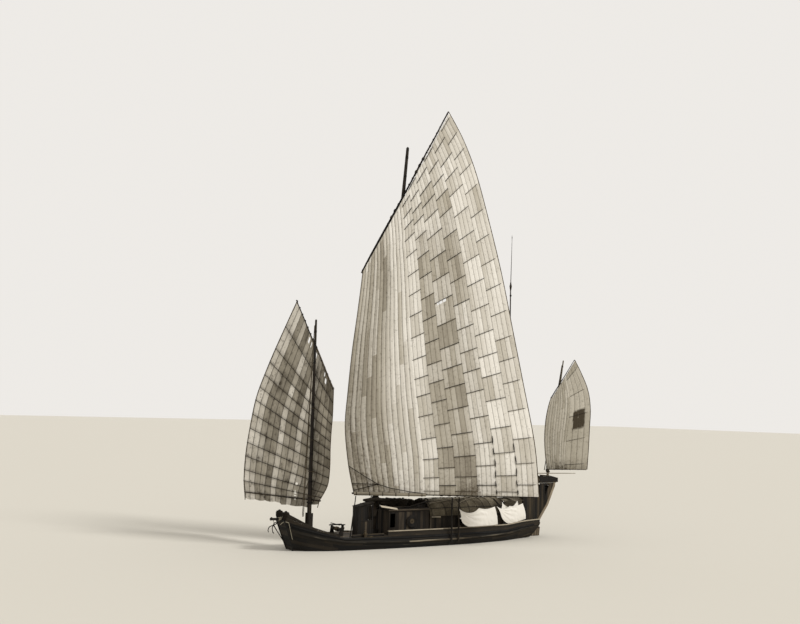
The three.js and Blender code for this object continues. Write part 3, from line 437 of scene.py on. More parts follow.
def dress(name: str, finish: Finish, points: Sequence[Point], faces: Sequence[tuple[int, ...]],
          node: str = "", body: str = "vessel", slot: str = "", sharp: float = 38.0,
          **values: Sequence) -> Object:
    """Makes a piece of points and faces, finishes it and sets it on its body.

    Args:
        name: Name of the piece.
        finish: Its finish.
        points: Its points.
        faces: Its faces, as point numbers.
        node: Node of the frame that it stands for, if any.
        body: Body that it rides on.
        slot: Material slot, where it isn't the finish's own; not used.
        sharp: Angle in degrees over which an edge stays sharp.
        values: Numbers or vectors by name, one for each point, but tone for each face.

    Returns:
        The object.
    """
    mesh = bpy.data.meshes.new(name)
    mesh.from_pydata([tuple(p) for p in points], [], faces)
    for key, rows in values.items():
        data = np.array(rows, np.float32)
        kind, item = ("FLOAT_VECTOR", "vector") if data.ndim > 1 else ("FLOAT", "value")
        domain = "FACE" if key == "tone" else "POINT"
        mesh.attributes.new(key, kind, domain).data.foreach_set(item, data.ravel())
    mesh.polygons.foreach_set("use_smooth", [True] * len(mesh.polygons))
    mesh.set_sharp_from_angle(angle=radians(sharp))
    mesh.materials.append(finish.material())
    made = place_in_scene(name, mesh)
    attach(made, body)
    if node:
        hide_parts(node)
    slot or finish.slot
    log.info("%s: %d faces on %s", name, len(mesh.polygons), body)
    return made


def place_in_scene(name: str, data: bpy.types.ID) -> Object:
    """Object of a mesh, lamp or camera, linked to the scene."""
    made = bpy.data.objects.new(name, data)
    bpy.context.scene.collection.objects.link(made)
    return made


class Sketch:
    """Points, faces, grain and tones of one piece while it is drawn."""

    def __init__(self, seed: int) -> None:
        """Starts an empty sketch with its own seeded numbers."""
        self.points: list[Vector] = []
        self.grain: list[Vector] = []
        self.faces: list[tuple[int, ...]] = []
        self.tones: list[float] = []
        self.chance = random.Random(seed)

    def sweep(self, rings: Sequence[Sequence[Point]], closed: bool = True, tone: float | None = None,
              wrap: bool = False, flip: bool = False) -> None:
        """Skins rings of points with the grain along the sweep.

        Args:
            rings: Rings with equal numbers of points.
            closed: Whether each ring closes on itself; the ends then get a face too.
            tone: Tone of the part from -1 to 1, or None for a random one.
            wrap: Whether the last ring joins the first.
            flip: Whether each ring runs the other way round.
        """
        rings = [[Vector(p) for p in (reversed(ring) if flip else ring)] for ring in rings]
        count, last, first = len(rings[0]), len(rings), len(self.points)
        start = Vector([self.chance.uniform(0.0, GRAIN_SPAN) for _ in range(3)])
        tone = self.chance.uniform(-1.0, 1.0) if tone is None else tone
        along = 0.0
        for k, ring in enumerate(rings):
            along += (ring[0] - rings[k - 1][0]).length if k else 0.0
            around = 0.0
            for j, point in enumerate(ring):
                around += (point - ring[j - 1]).length if j else 0.0
                self.points.append(point)
                self.grain.append(start + Vector((along, around, 0)))
        for k in range(last if wrap else last - 1):
            a, b = first + k * count, first + (k + 1) % last * count
            for j in range(count if closed else count - 1):
                n = (j + 1) % count
                self.faces.append((a + j, a + n, b + n, b + j))
        if closed and not wrap:
            end = first + (last - 1) * count
            self.faces.append(tuple(range(first + count - 1, first - 1, -1)))
            self.faces.append(tuple(range(end, end + count)))
        self.tones += [tone] * (len(self.faces) - len(self.tones))

    def tube(self, path: Sequence[Point], radius: float | Sequence[float], sides: int = 8,
             tone: float | None = None, flat: float = 1.0, wrap: bool = False) -> None:
        """Round bar or rope along a path.

        Args:
            path: Points of its centreline.
            radius: One radius, or one for each point.
            sides: Sides of its section.
            tone: Tone of the part.
            flat: Height of its section as a share of its width.
            wrap: Whether the path closes on itself.
        """
        path = [Vector(p) for p in path]
        radii = [radius] * len(path) if isinstance(radius, (int, float)) else radius
        rings: list[list[Vector]] = []
        side: Vector | None = None
        for k, (point, r) in enumerate(zip(path, radii)):
            before = path[k - 1] if k or wrap else point
            after = path[(k + 1) % len(path)] if k + 1 < len(path) or wrap else point
            way = (after - before).normalized()
            if side is None:
                side = way.cross(UP if abs(way.z) < 0.9 else AFT).normalized()
            side = (side - way * side.dot(way)).normalized()
            over = side.cross(way).normalized()
            rings.append([point + side * (c * r) + over * (s * r * flat) for c, s in circle(sides)])
        self.sweep(rings, tone=tone, wrap=wrap)

    def board(self, start: Point, end: Point, side: Point, wide: float, thick: float,
              tone: float | None = None, edge: float = 0.006) -> None:
        """Straight board with eased edges.

        Args:
            start: Middle of one end.
            end: Middle of the other end.
            side: Direction of its width.
            wide: Width.
            thick: Thickness.
            tone: Tone of the part.
            edge: Width of the eased edge.
        """
        self.strip([start, end], side, wide, thick, tone, edge)

    def strip(self, path: Sequence[Point], side: Point, wide: float, thick: float,
              tone: float | None = None, edge: float = 0.006) -> None:
        """Board with eased edges that follows a path; its arguments are those of board."""
        path, side = [Vector(p) for p in path], Vector(side)
        way = (path[-1] - path[0]).normalized()
        across = (side - way * side.dot(way)).normalized()
        out = way.cross(across).normalized()
        w, t = wide / 2, thick / 2
        e = min(edge, w / 2, t / 2)
        half = ((-w + e, -t), (w - e, -t), (w, -t + e), (w, t - e))
        section = [*half, *((-a, -b) for a, b in half)]
        self.sweep([[p + across * a + out * b for a, b in section] for p in path], tone=tone)

    def coil(self, middle: Point, radius: float, turns: float, rope: float, axis: Point = UP,
             rise: float = 0.0) -> None:
        """Coil of rope about an axis.

        Args:
            middle: Middle of its first turn.
            radius: Radius of its first turn.
            turns: Number of turns.
            rope: Radius of the rope.
            axis: Axis of the coil.
            rise: Climb of each turn along the axis; 0 lays the turns inside each other.
        """
        middle, axis = Vector(middle), Vector(axis)
        way = axis.normalized()
        a = axis.cross(AFT if abs(way.z) > 0.9 else UP).normalized()
        b = way.cross(a)
        path = []
        for k in range(int(turns * COIL_STEPS) + 1):
            turn = k / COIL_STEPS
            angle = 2 * pi * turn
            r = radius - (0.0 if rise else turn * rope * 1.9)
            r *= 1 + 0.04 * sin(3.1 * angle + radius * 40)
            path.append(middle + (a * cos(angle) + b * sin(angle)) * r + way * rise * turn)
        self.tube(path, rope, 6)

    def lathe(self, profile: Pairs, foot: Point, axis: Point = UP, sides: int = 16,
              tone: float | None = None) -> None:
        """Turned form from rows of radius and height above its foot.

        Args:
            profile: Radius and height, from foot to top.
            foot: Point on the axis at height 0.
            axis: Axis of the form.
            sides: Sides of its section.
            tone: Tone of the part.
        """
        foot, way = Vector(foot), Vector(axis).normalized()
        a = way.cross(AFT if abs(way.x) < 0.9 else UP).normalized()
        b = way.cross(a)
        self.sweep([[foot + way * z + (a * c + b * s) * max(r, 0.001) for c, s in circle(sides)]
                    for r, z in profile], tone=tone)

    def build(self, name: str, finish: Finish, node: str = "", body: str = "vessel", slot: str = "",
              sharp: float = 38.0) -> Object:
        """Makes the piece of the sketch; its arguments and result are those of dress."""
        return dress(name, finish, self.points, self.faces, node, body, slot, sharp,
                     grain=self.grain, tone=self.tones)


class Weave(Enum):
    """Side of the cloth on which the battens of a field lie."""

    MAST_SIDE = "mast side"
    IN_AND_OUT = "in and out"


@dataclass(frozen=True)
class Field:
    """Upright band of a sail, sewn from equal strips.

    start and end are rows of height share and chord share; full is how far each strip swells out,
    and patch is how many batten gaps a strip runs before its tone changes, 0 for its whole length.
    """

    start: Pairs
    end: Pairs
    strips: int
    full: float
    weave: Weave
    phase: int = 0
    patch: int = 0


@dataclass
class LugSail:
    """One battened lugsail with its spars, in metres, in the frame of the mast that it hangs on.

    rows are luff x, luff z, leech x and leech z from the foot to the yard, battens holds the
    height share of each batten, holes holds height share, chord share and radius of each tear,
    and crease is how strongly painted shade darkens the folds between the strips.
    """

    name: str
    body: str
    node: str
    mast_x: float
    rake: float
    swing: float
    stand: float
    camber: float
    rows: Sequence[tuple[float, float, float, float]]
    fields: Sequence[Field]
    battens: Sequence[float]
    finish: SailCloth
    batten_radius: float
    sag: float
    seed: int
    tone: Callable[[float, float, random.Random], float]
    dirt: Callable[[float, float], float]
    hang: Callable[[float], float] = lambda share: 0.0
    holes: Sequence[tuple[float, float, float]] = ()
    variety: float = 0.07
    crease: float = 0.0
    yard_gap: float = 0.08
    cloth_steps: int = 4
    place: Matrix = field(init=False)

    def __post_init__(self) -> None:
        """Works out the sail's place on the vessel."""
        turn = Matrix.Rotation(radians(self.rake), 4, "Y") @ Matrix.Rotation(radians(self.swing), 4, "Z")
        self.place = Matrix.Translation((self.mast_x, 0, 0)) @ turn

    def local(self, v: float, s: float, out: float = 0.0) -> Vector:
        """Point of the sheet in the mast's frame.

        Args:
            v: Share of the height, from foot to yard.
            s: Share of the chord, from luff to leech.
            out: Distance from the sheet towards the mast.

        Returns:
            The point.
        """
        t = v * (len(self.rows) - 1)
        x0, z0, x1, z1 = (smooth_value(self.rows, column, t) for column in range(4))
        belly = self.camber * 4 * s * (1 - s) * max(0.0, sin(pi * v)) ** 0.4
        return Vector((lerp(x0, x1, s), -self.stand - belly + out, lerp(z0, z1, s)))

    def point(self, v: float, s: float, out: float = 0.0) -> Vector:
        """Point of the sheet on the vessel; its arguments are those of local."""
        return self.place @ self.local(v, s, out)

    def strip_edges(self, v: float) -> list[tuple[float, float]]:
        """Chord share and fullness of each strip edge at a height share."""
        edges: list[tuple[float, float]] = []
        for band in self.fields:
            a, b = table_value(band.start, v), table_value(band.end, v)
            edges.extend((lerp(a, b, k / band.strips), band.full) for k in range(band.strips))
        edges.append((table_value(self.fields[-1].end, v), self.fields[-1].full))
        return edges

    def heights(self) -> list[float]:
        """Height shares of the cloth's rows, with every batten among them."""
        marks = [0.0, *self.battens, 1.0]
        rows: list[float] = []
        for low, high in zip(marks, marks[1:]):
            if high - low > 1e-6:
                rows.extend(lerp(low, high, k / self.cloth_steps) for k in range(self.cloth_steps))
        return [*rows, 1.0]

    def panel(self, v: float, band: Field) -> int:
        """Number of the panel of a field that holds a height share."""
        return sum(1 for k, height in enumerate(self.battens)
                   if height <= v and (band.weave is not Weave.IN_AND_OUT or k % 2 == band.phase))

    def build_cloth(self) -> Object:
        """Sews the cloth: swelling strips, sag between the battens, a tone for each panel.

        Returns:
            The cloth.
        """
        heights = self.heights()
        steps = 6
        strips = [(band, k) for band in self.fields for k in range(band.strips)]
        luff_x, luff_z, leech_x, leech_z = self.rows[-1]
        yard = Vector((leech_x - luff_x, 0, leech_z - luff_z)).normalized()
        below_yard = Vector((yard.z, 0, -yard.x)) * self.yard_gap
        points: list[Vector] = []
        cloth: list[tuple[float, float, float]] = []
        # dirt holds, for each point, the sail's dirt plus painted shade in the folds
        dirt: list[float] = []
        for v in heights:
            edges = self.strip_edges(v)
            near = min(abs(v - b) for b in (0.0, *self.battens, 1.0))
            gap = 0.5 / max(len(self.battens), 1)
            slack = self.sag * sin(pi * min(1.0, near / gap) / 2)
            hanging = max(0.0, 1 - v / self.battens[0])
            tied = max(0.0, (v - self.battens[-1]) / (1 - self.battens[-1]))
            for j, (band, _) in enumerate(strips):
                (a, _), (b, _) = edges[j], edges[j + 1]
                for k in range(steps + (j == len(strips) - 1)):
                    f = k / steps
                    s = lerp(a, b, f)
                    swell = band.full * sin(pi * f) ** 0.6 if 0 < f < 1 else 0.0
                    local = self.local(v, s, -swell - slack)
                    wave = wobble(s * 9.0, v * 5.0, self.seed)
                    fine = wobble(s * 42.0, v * 26.0, self.seed + 5)
                    local.y += wave * self.sag * 1.6 + fine * self.sag * 0.7
                    local.z += self.hang(s) * hanging
                    local += below_yard * tied * (1.0 + 0.7 * wobble(s * 60.0, 2.0, self.seed))
                    points.append(self.place @ local)
                    cloth.append((j + f, local.z, 0))
                    # painted shade: darkens each fold at a strip edge, scaled by the strip's fullness
                    crease_shade = self.crease * band.full * max(0.0, 1 - min(f, 1 - f) * steps)
                    dirt.append(min(2.8, self.dirt(v, s) + crease_shade))
        width = len(strips) * steps + 1
        faces: list[tuple[int, ...]] = []
        tones: list[float] = []
        panels: dict[tuple[int, int], float] = {}
        chance = random.Random(self.seed)
        for row in range(len(heights) - 1):
            middle = (heights[row] + heights[row + 1]) / 2
            edges = self.strip_edges(middle)
            for j, (band, _) in enumerate(strips):
                number = self.fields.index(band)
                piece = self.panel(middle, band)
                sewn = band.weave is Weave.IN_AND_OUT
                if not sewn:
                    piece = (piece + (j * 5) % 7) // band.patch if band.patch else 0
                panel = (number, piece) if sewn else (100 + j, piece)
                if panel not in panels:
                    panels[panel] = self.tone(middle, (edges[j][0] + edges[j + 1][0]) / 2, chance)
                strip = (1000 + j, piece)
                if strip not in panels:
                    panels[strip] = chance.uniform(-self.variety, self.variety) * (1.0 if sewn else 0.6)
                shade = min(1.0, max(0.0, panels[panel] + panels[strip]))
                for step in range(steps):
                    share = lerp(edges[j][0], edges[j + 1][0], (step + 0.5) / steps)
                    if self.torn(middle, share):
                        continue
                    a = row * width + j * steps + step
                    faces.append((a, a + 1, a + 1 + width, a + width))
                    tones.append(shade)
        made = dress(f"{self.name}_cloth", self.finish, points, faces, f"{self.node}_sail", self.body,
                     sharp=80.0, cloth=cloth, dirt=dirt, tone=tones)
        wide = max(row[2] - row[0] for row in self.rows) + 0.3
        tall = self.rows[-1][3] - min(self.rows[0][1], self.rows[0][3])
        self.area()
        return made

    def torn(self, v: float, s: float) -> bool:
        """Whether a place on the cloth lies in one of its tears."""
        near = [hole for hole in self.holes if abs(hole[0] - v) < 0.04 and abs(hole[1] - s) < 0.04]
        return any((self.local(high, along) - self.local(v, s)).length < radius
                   for high, along, radius in near)

    def area(self) -> float:
        """Flat area of the cloth in square metres."""
        total = 0.0
        steps = 40
        for k in range(steps):
            v0, v1 = k / steps, (k + 1) / steps
            a, b = self.local(v0, 0.0), self.local(v0, 1.0)
            c, d = self.local(v1, 1.0), self.local(v1, 0.0)
            total += ((b - a).cross(c - a).length + (c - a).cross(d - a).length) / 2
        return total

    def batten_path(self, number: int, v: float) -> list[Vector]:
        """Centreline of a batten, which passes from one side of the cloth to the other.

        Args:
            number: Number of the batten from the foot.
            v: Its height share.

        Returns:
            The points on the vessel.
        """
        clear = self.batten_radius + 0.012
        path: list[Vector] = []
        for band in self.fields:
            a, b = table_value(band.start, v), table_value(band.end, v)
            far = band.weave is Weave.IN_AND_OUT and number % 2 == band.phase
            out = -clear - band.full if far else clear
            path.extend(self.point(v, lerp(a, b, f), out) for f in (0.06, 0.35, 0.65, 0.94))
        path[0] = self.point(v, 0.001, clear)
        path[-1] = self.point(v, 1.002, clear)
        return path

    def build_battens(self) -> Object:
        """Battens through the whole sail, with a lashing at each end."""
        sketch = Sketch(self.seed + 11)
        for number, v in enumerate(self.battens):
            path = self.batten_path(number, v)
            last = len(path) - 1
            radii = [self.batten_radius * (1 - 0.25 * abs(2 * k / last - 1)) for k in range(last + 1)]
            sketch.tube(path, radii, 6)
            for end, inner in ((path[0], path[1]), (path[-1], path[-2])):
                way = (inner - end).normalized()
                sketch.tube([end + way * d for d in (0.03, 0.05, 0.09, 0.11)],
                            [self.batten_radius * r for r in (1.0, 1.35, 1.35, 1.0)], 6, -0.8)
        return sketch.build(f"{self.name}_battens", BATTEN_WOOD, f"{self.node}_battens", self.body)

    def build_spar(self, part: str, v: float, radius: float, reach: tuple[float, float],
                   joints: Sequence[float]) -> Object:
        """Yard or boom of lashed poles, with turns of rope along it.

        Args:
            part: Word for the spar, yard or boom.
            v: Height share of the sheet's edge that it carries.
            radius: Radius of its thickest pole.
            reach: How far it passes the luff and the leech, in metres.
            joints: Shares of its length where one pole ends and the next begins.

        Returns:
            The spar.
        """
        sketch = Sketch(self.seed + 31 + int(v * 10))
        luff, leech = self.local(v, 0.0), self.local(v, 1.0)
        luff.y = leech.y = -self.stand + radius * 1.05
        if v < 0.5:
            luff.z -= radius * 0.6
            leech.z -= radius * 0.6
        way = (leech - luff).normalized()
        start, end = luff - way * reach[0], leech + way * reach[1]
        length = (end - start).length
        marks = [0.0, *joints, 1.0]
        for k, (low, high) in enumerate(zip(marks, marks[1:])):
            over = 0.06
            a, b = max(0.0, low - over), min(1.0, high + over)
            side = Vector((0, radius * (0.9 if k % 2 else 0.0), 0))
            path = []
            radii = []
            for j in range(9):
                share = lerp(a, b, j / 8)
                at = start.lerp(end, share) + side
                at += push(at * 0.55 + Vector((k * 7.0, self.seed, 0))) * radius * 0.45
                path.append(self.place @ at)
                radii.append(radius * lerp(1.0, 0.58, share) * (1.0 if k == 0 else 0.88))
            sketch.tube(path, radii, 10)
        turns = int(length / 0.55)
        for k in range(turns + 1):
            share = lerp(0.015, 0.985, k / turns)
            near_joint = min((abs(share - j) for j in joints), default=1.0) < 0.05
            size = radius * lerp(1.0, 0.58, share) * (1.5 if near_joint else 1.16)
            at = start.lerp(end, share)
            wide = 0.1 if near_joint else sketch.chance.uniform(0.03, 0.07)
            path = [self.place @ (at + way * d) for d in (-wide, -wide * 0.6, wide * 0.6, wide)]
            sketch.tube(path, [size * 0.9, size, size, size * 0.9], 9, sketch.chance.uniform(-1.0, 0.4))
        return sketch.build(f"{self.name}_{part}", SPAR_WOOD, f"{self.node}_{part}", self.body)

    def build_ropes(self) -> Object:
        """Bolt ropes along the luff and the leech, and the rope parrels round the mast."""
        sketch = Sketch(self.seed + 23)
        for s in (0.0, 1.0):
            sketch.tube([self.point(v, s) for v in self.heights()[::2]], 0.028, 6)
        for v in self.battens[1:-1:3]:
            t = v * (len(self.rows) - 1)
            luff, leech = smooth_value(self.rows, 0, t), smooth_value(self.rows, 2, t)
            s = -luff / (leech - luff)
            middle = self.local(v, s)
            radius = self.mast_radius(middle.z) + 0.045
            ring = [Vector((radius * a, radius * b, middle.z)) for a, b in circle(14)]
            sketch.tube([self.place @ p for p in ring], 0.02, 6, wrap=True)
            for x in (-radius, radius):
                start = Vector((x, 0, middle.z))
                end = self.local(v, s + x * 1.6 / (leech - luff), 0.03)
                sketch.tube([self.place @ start, self.place @ start.lerp(end, 0.5), self.place @ end], 0.018,
                            6)
        return sketch.build(f"{self.name}_ropes", HEMP, body=self.body)

    def build_foot_lines(self) -> None:
        """Pale pole along the fore half of the foot and the lines drawn from the luff down to it."""
        pole = Sketch(self.seed + 41)
        way = [self.point(0.0, share, -0.13) - UP * 0.03 for share in stations(0.0, 0.385, 0.035)]
        pole.tube(way, [lerp(0.125, 0.1, k / (len(way) - 1)) for k in range(len(way))], 12, 0.9)
        for k in range(0, len(way) - 1, 2):
            at = way[k].lerp(way[k + 1], 0.4)
            along = (way[k + 1] - way[k]).normalized()
            pole.tube([at - along * 0.03, at + along * 0.03], 0.13, 12, -1.0)
        pole.build(f"{self.name}_foot_pole", POLE_WOOD, body=self.body)
        lines = Sketch(self.seed + 43)
        knot = (0.046, 0.137)
        for stops in (((0.115, 0), (0.083, 0.06), knot), ((0.018, 0), (0.034, 0.07), knot),
                      ((0.05, 0), (0.048, 0.06), knot),
                      (knot, (0.03, 0.2), (0.014, 0.3), (0.003, 0.39))):
            lines.tube([self.point(v, share, -0.075) for v, share in stops], 0.024, 6)
        for band, top in ((self.fields[5], 0.135), (self.fields[6], 0.115)):
            for low in stations(0.006, top, 0.027):
                rises = stations(low, low + 0.019, 0.006)
                at = [(v, table_value(band.start, v) + 0.002 * sin(v * 90)) for v in rises]
                lines.tube([self.point(v, share, -0.045) for v, share in at],
                           [0.008, *(0.035 for _ in at[2:]), 0.012], 6)
        lines.lathe(((0, -0.07), (0.06, -0.04), (0.06, 0.04), (0, 0.07)), self.point(*knot, -0.09), UP, 8)
        lines.build(f"{self.name}_luff_lines", DARK_ROPE, body=self.body)

    def mast_radius(self, z: float) -> float:
        """Radius of the mast at a height, from the frame."""
        node = {"fore": "foremast", "main": "mainmast", "mizzen": "mizzen_mast"}[self.node]
        low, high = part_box(node)
        foot, top = {"fore": (0.15, 0.07), "main": (0.22, 0.105), "mizzen": (0.095, 0.05)}[self.node]
        return lerp(foot, top, min(1.0, max(0.0, (z - low.z) / (high.z - low.z))))


def main_sail() -> LugSail:
    """The mainsail, with its pleated luff and its patched leech."""
    border = (0.381, 0.4, 0.407, 0.395, 0.384, 0.38, 0.379, 0.409, 0.45)
    rows_v = [k / (len(border) - 1) for k in range(len(border))]
    columns = (0.0, 0.125, 0.265, 0.457, 0.624, 0.811, 1.0)
    strips = (3, 3, 4, 4, 4, 4)
    lines = [[(v, lerp(b, 1.0, column)) for v, b in zip(rows_v, border)] for column in columns]
    fields = [Field([(0, 0), (1, 0)], lines[0], 14, 0.03, Weave.MAST_SIDE, 0, 7)]
    for k, count in enumerate(strips):
        fields.append(Field(lines[k], lines[k + 1], count, 0.012, Weave.IN_AND_OUT, k % 2))

    def tone(v: float, s: float, chance: random.Random) -> float:
        """Tone of a panel of the mainsail."""
        if s < 0.39:
            worn = -0.22 if chance.random() < 0.18 else 0.0
            # strips near the luff get a low tone and those near the leech fields a high one: painted shade on
            # the luff field
            return (0.58 if s < 0.235 else 0.86) + 0.1 * (v > 0.6) + worn + chance.uniform(-0.15, 0.1)
        share = (s - 0.39) / 0.61
        first = 0.265 if v > 0.62 else 0.125
        last = 0.624 if v > 0.47 else 0.457
        if first < share < last and v < 0.73:
            low = -0.2 if share > 0.265 and v < 0.11 else 0.0
            return table_value(((0, 0.38), (0.35, 0.5), (0.7, 0.62)), v) + low + chance.uniform(-0.22, 0.22)
        return 0.84 + chance.uniform(-0.14, 0.12)

    def dirt(v: float, s: float) -> float:
        """Darkening of the mainsail: leech stains, a darker foot, streaks fanning at the lower luff, a darker
        lower luff corner and painted shade on the luff field.
        """
        share = (s - 0.39) / 0.61
        cloud = 0.5 + 0.5 * wobble(s * 7.0, v * 4.0, 8.0)
        fall = s - 0.1 * (1 - s / 0.39) * max(0.0, 1 - v / 0.35) ** 2
        streak = wobble(fall * 85.0, v * 2.2, 2.0) + 0.6 * wobble(fall * 210.0, v * 5.0, 6.0)
        streaks = 0.75 * max(0.0, streak) * (1.0 if s < 0.235 else 0.35 if s < 0.4 else 0.0)
        patch = 0.3 * cloud if 0.12 < share < 0.62 and v < 0.74 else 0.0
        foot = 0.3 * max(0.0, 1 - v / 0.1) + (0.45 * cloud if 0.27 < share < 0.48 and v < 0.15 else 0.0)
        foot += 0.55 * max(0.0, 1 - abs(v - 0.022) / 0.035) if 0.28 < share < 0.48 else 0.0
        # painted shade over the luff field, deepest at mid height
        luff = 0.3 * max(0.0, 1 - s / 0.26) * max(0.0, 1 - abs(v - 0.38) / 0.42)
        corner = 0.75 * max(0.0, 1 - s / 0.4) * max(0.0, 1 - v / 0.3)
        return min(1.0, patch + foot + luff + corner * (0.5 + cloud) + streaks)

    return LugSail(name="mainsail", body="mainsail", node="main", mast_x=-3.3, rake=4.3, swing=-28.0,
                   stand=0.4, camber=0.3, rows=[(-1.53, 3.43, 11.3, 4.27), (-2.1, 5.4, 10.75, 7.8),
                                                (-2.56, 7.9, 9.55, 12.29), (-2.6, 10.3, 8.62, 15.67),
                                                (-2.58, 13.1, 7.53, 19.59), (-2.47, 15.7, 6.36, 23.25),
                                                (-2.4, 17.7, 5.1, 26.84), (-2.385, 18.45, 3.95, 29.3),
                                                (-2.37, 18.9, 2.71, 31.28)], fields=fields,
                   battens=[lerp(0.018, 0.975, (k / 33) ** 1.087) for k in range(34)], finish=MAIN_CLOTH,
                   batten_radius=0.026, sag=0.01, seed=3, tone=tone, dirt=dirt, crease=20.0, variety=0.17,
                   yard_gap=0.1, holes=((0.509, 0.589, 0.12), (0.51, 0.612, 0.13), (0.506, 0.568, 0.1)))


def fore_sail() -> LugSail:
    """The foresail, older and dirtier, with two loose lobes under its boom."""
    count = 14
    fields = [Field([(0, 0), (1, 0)], [(0, 1), (1, 1)], count, 0.03, Weave.MAST_SIDE, 0, 1)]
    pale, dark = (5, 8, 12, 13), (0, 1, 3, 6, 9)

    def tone(v: float, s: float, chance: random.Random) -> float:
        """Tone of a panel of the foresail."""
        number = int(s * count)
        shift = 0.3 if number in pale else -0.12 if number in dark else 0.0
        if s > 0.93 and v > 0.82:
            return 0.95
        return 0.5 + shift - 0.16 * (s < 0.22) + chance.uniform(-0.2, 0.17)

    def dirt(v: float, s: float) -> float:
        """Dirt of the foresail, deepest in blots near its middle and beside its battens."""
        cloud = 0.5 + 0.9 * wobble(s * 6.0, v * 9.0, 4.0)
        mottle = max(0.0, wobble(s * 16.0, v * 17.0, 9.0) - 0.12) * 2.2
        old = 0.5 if 0.1 < s < 0.85 and int(s * count) not in pale else 0.12
        near = min(abs(v - b) for b in (0.125, *(lerp(0.24, 0.925, k / 11) for k in range(12))))
        stripe = 0.45 * max(0.0, 1 - near / 0.012)
        return min(1.0, max(0.0, old * cloud + old * mottle + stripe + 0.15 * max(0.0, 1 - v / 0.2)))

    def hang(s: float) -> float:
        """Rise of the loose foot of the foresail, which hangs in lobes."""
        lobes = 5 if s < 0.5 else 7
        level = 0.16 if s < 0.1 else -0.06 if s < 0.5 else 0.05
        return level + 0.07 * (1 - abs(sin(pi * lobes * s)) ** 0.6)

    return LugSail(name="foresail", body="foresail", node="fore", mast_x=-8.1, rake=0.0, swing=110.0,
                   stand=0.26, camber=0.0, rows=[(-0.48, 2.7, 6.52, 2.68), (-0.65, 3.2, 6.6, 3.24),
                                                 (-0.82, 3.42, 6.73, 4.1), (-1.33, 4.25, 6.65, 5.9),
                                                 (-1.47, 5.4, 6.3, 7.9), (-1.45, 6.6, 5.8, 9.9),
                                                 (-1.49, 7.75, 4.95, 11.7), (-1.565, 8.9, 3.9, 13.6),
                                                 (-1.57, 10.6, 2.07, 16.66)], fields=fields,
                   battens=[0.125, *(lerp(0.24, 0.925, k / 11) for k in range(12))], finish=FORE_CLOTH,
                   batten_radius=0.02, sag=0.016, seed=17, tone=tone, dirt=dirt, hang=hang, variety=0.12,
                   crease=12.0, yard_gap=0.07, holes=((0.972, 0.61, 0.07), (0.968, 0.56, 0.08),
                                                      (0.93, 0.6, 0.06), (0.97, 0.43, 0.09),
                                                      (0.965, 0.37, 0.07), (0.965, 0.26, 0.08),
                                                      (0.97, 0.21, 0.07), (0.94, 0.26, 0.07),
                                                      (0.925, 0.3, 0.07), (0.955, 0.17, 0.09),
                                                      (0.1, 0.315, 0.08), (0.17, 0.318, 0.07),
                                                      (0.235, 0.322, 0.09), (0.31, 0.335, 0.07)))


def mizzen_sail() -> LugSail:
    """The mizzen sail, streaky at its luff and patched at its leech."""
    middle = [(0, 0.42), (0.5, 0.52), (1, 0.6)]
    fields = [
        Field([(0, 0), (1, 0)], middle, 9, 0.022, Weave.MAST_SIDE, 0, 4),
        Field(middle, [(0, 1), (1, 1)], 4, 0.008, Weave.IN_AND_OUT, 0),
    ]

    def tone(v: float, s: float, chance: random.Random) -> float:
        """Tone of a panel of the mizzen sail."""
        return 0.7 + chance.uniform(-0.2, 0.2)

    def dirt(v: float, s: float) -> float:
        """Dirt of the mizzen sail."""
        if 0.61 < s < 0.87 and 0.36 < v < 0.53:
            return 2.0
        foot = max(0.0, 1 - v / 0.12) * (1.1 if 0.2 < s < 0.5 else 0.6)
        return 0.16 + foot + 0.25 * max(0.0, 1 - s / 0.5) * max(0.0, 1 - v / 0.5)

    return LugSail(
        name="mizzensail", body="mizzen", node="mizzen", mast_x=11.6, rake=9.5, swing=-25.0,
        stand=0.175, camber=0.08,
        rows=[
            (-0.13, 5.06, 3, 5.56), (-0.42, 6, 2.9, 7.2), (-0.68, 7.3, 2.78, 8.7),
            (-0.79, 8.6, 2.64, 10.3), (-0.76, 9.6, 2.24, 11.73), (-0.68, 10.25, 1.5, 13),
            (-0.59, 10.62, 0.86, 13.9),
        ],
        fields=fields, battens=[lerp(0.06, 0.9, k / 8) for k in range(9)],
        finish=MIZZEN_CLOTH, batten_radius=0.014, sag=0.008, seed=29, tone=tone, dirt=dirt, crease=10.0,
        yard_gap=0.05,
    )


@dataclass
class Sails:
    """The three sails with their spars and ropes."""

    def build(self) -> None:
        """Builds each sail from its cloth to its ropes."""
        main, fore, mizzen = main_sail(), fore_sail(), mizzen_sail()
        for sail in (main, fore, mizzen):
            sail.build_battens()
            sail.build_cloth()
            sail.build_ropes()
        main.build_foot_lines()
        main.build_spar("yard", 1.0, 0.095, (0.16, 0), (0.36, 0.66))
        main.build_spar("boom", 0.0, 0.062, (0.15, -0.06), (0.5,))
        fore.build_spar("yard", 1.0, 0.066, (0.12, 0), (0.5,))
        fore.build_spar("boom", 0.125, 0.048, (0.15, -0.06), ())
        mizzen.build_spar("yard", 1.0, 0.04, (0.08, 0), ())
        mizzen.build_spar("boom", 0.0, 0.034, (0.12, -0.04), ())


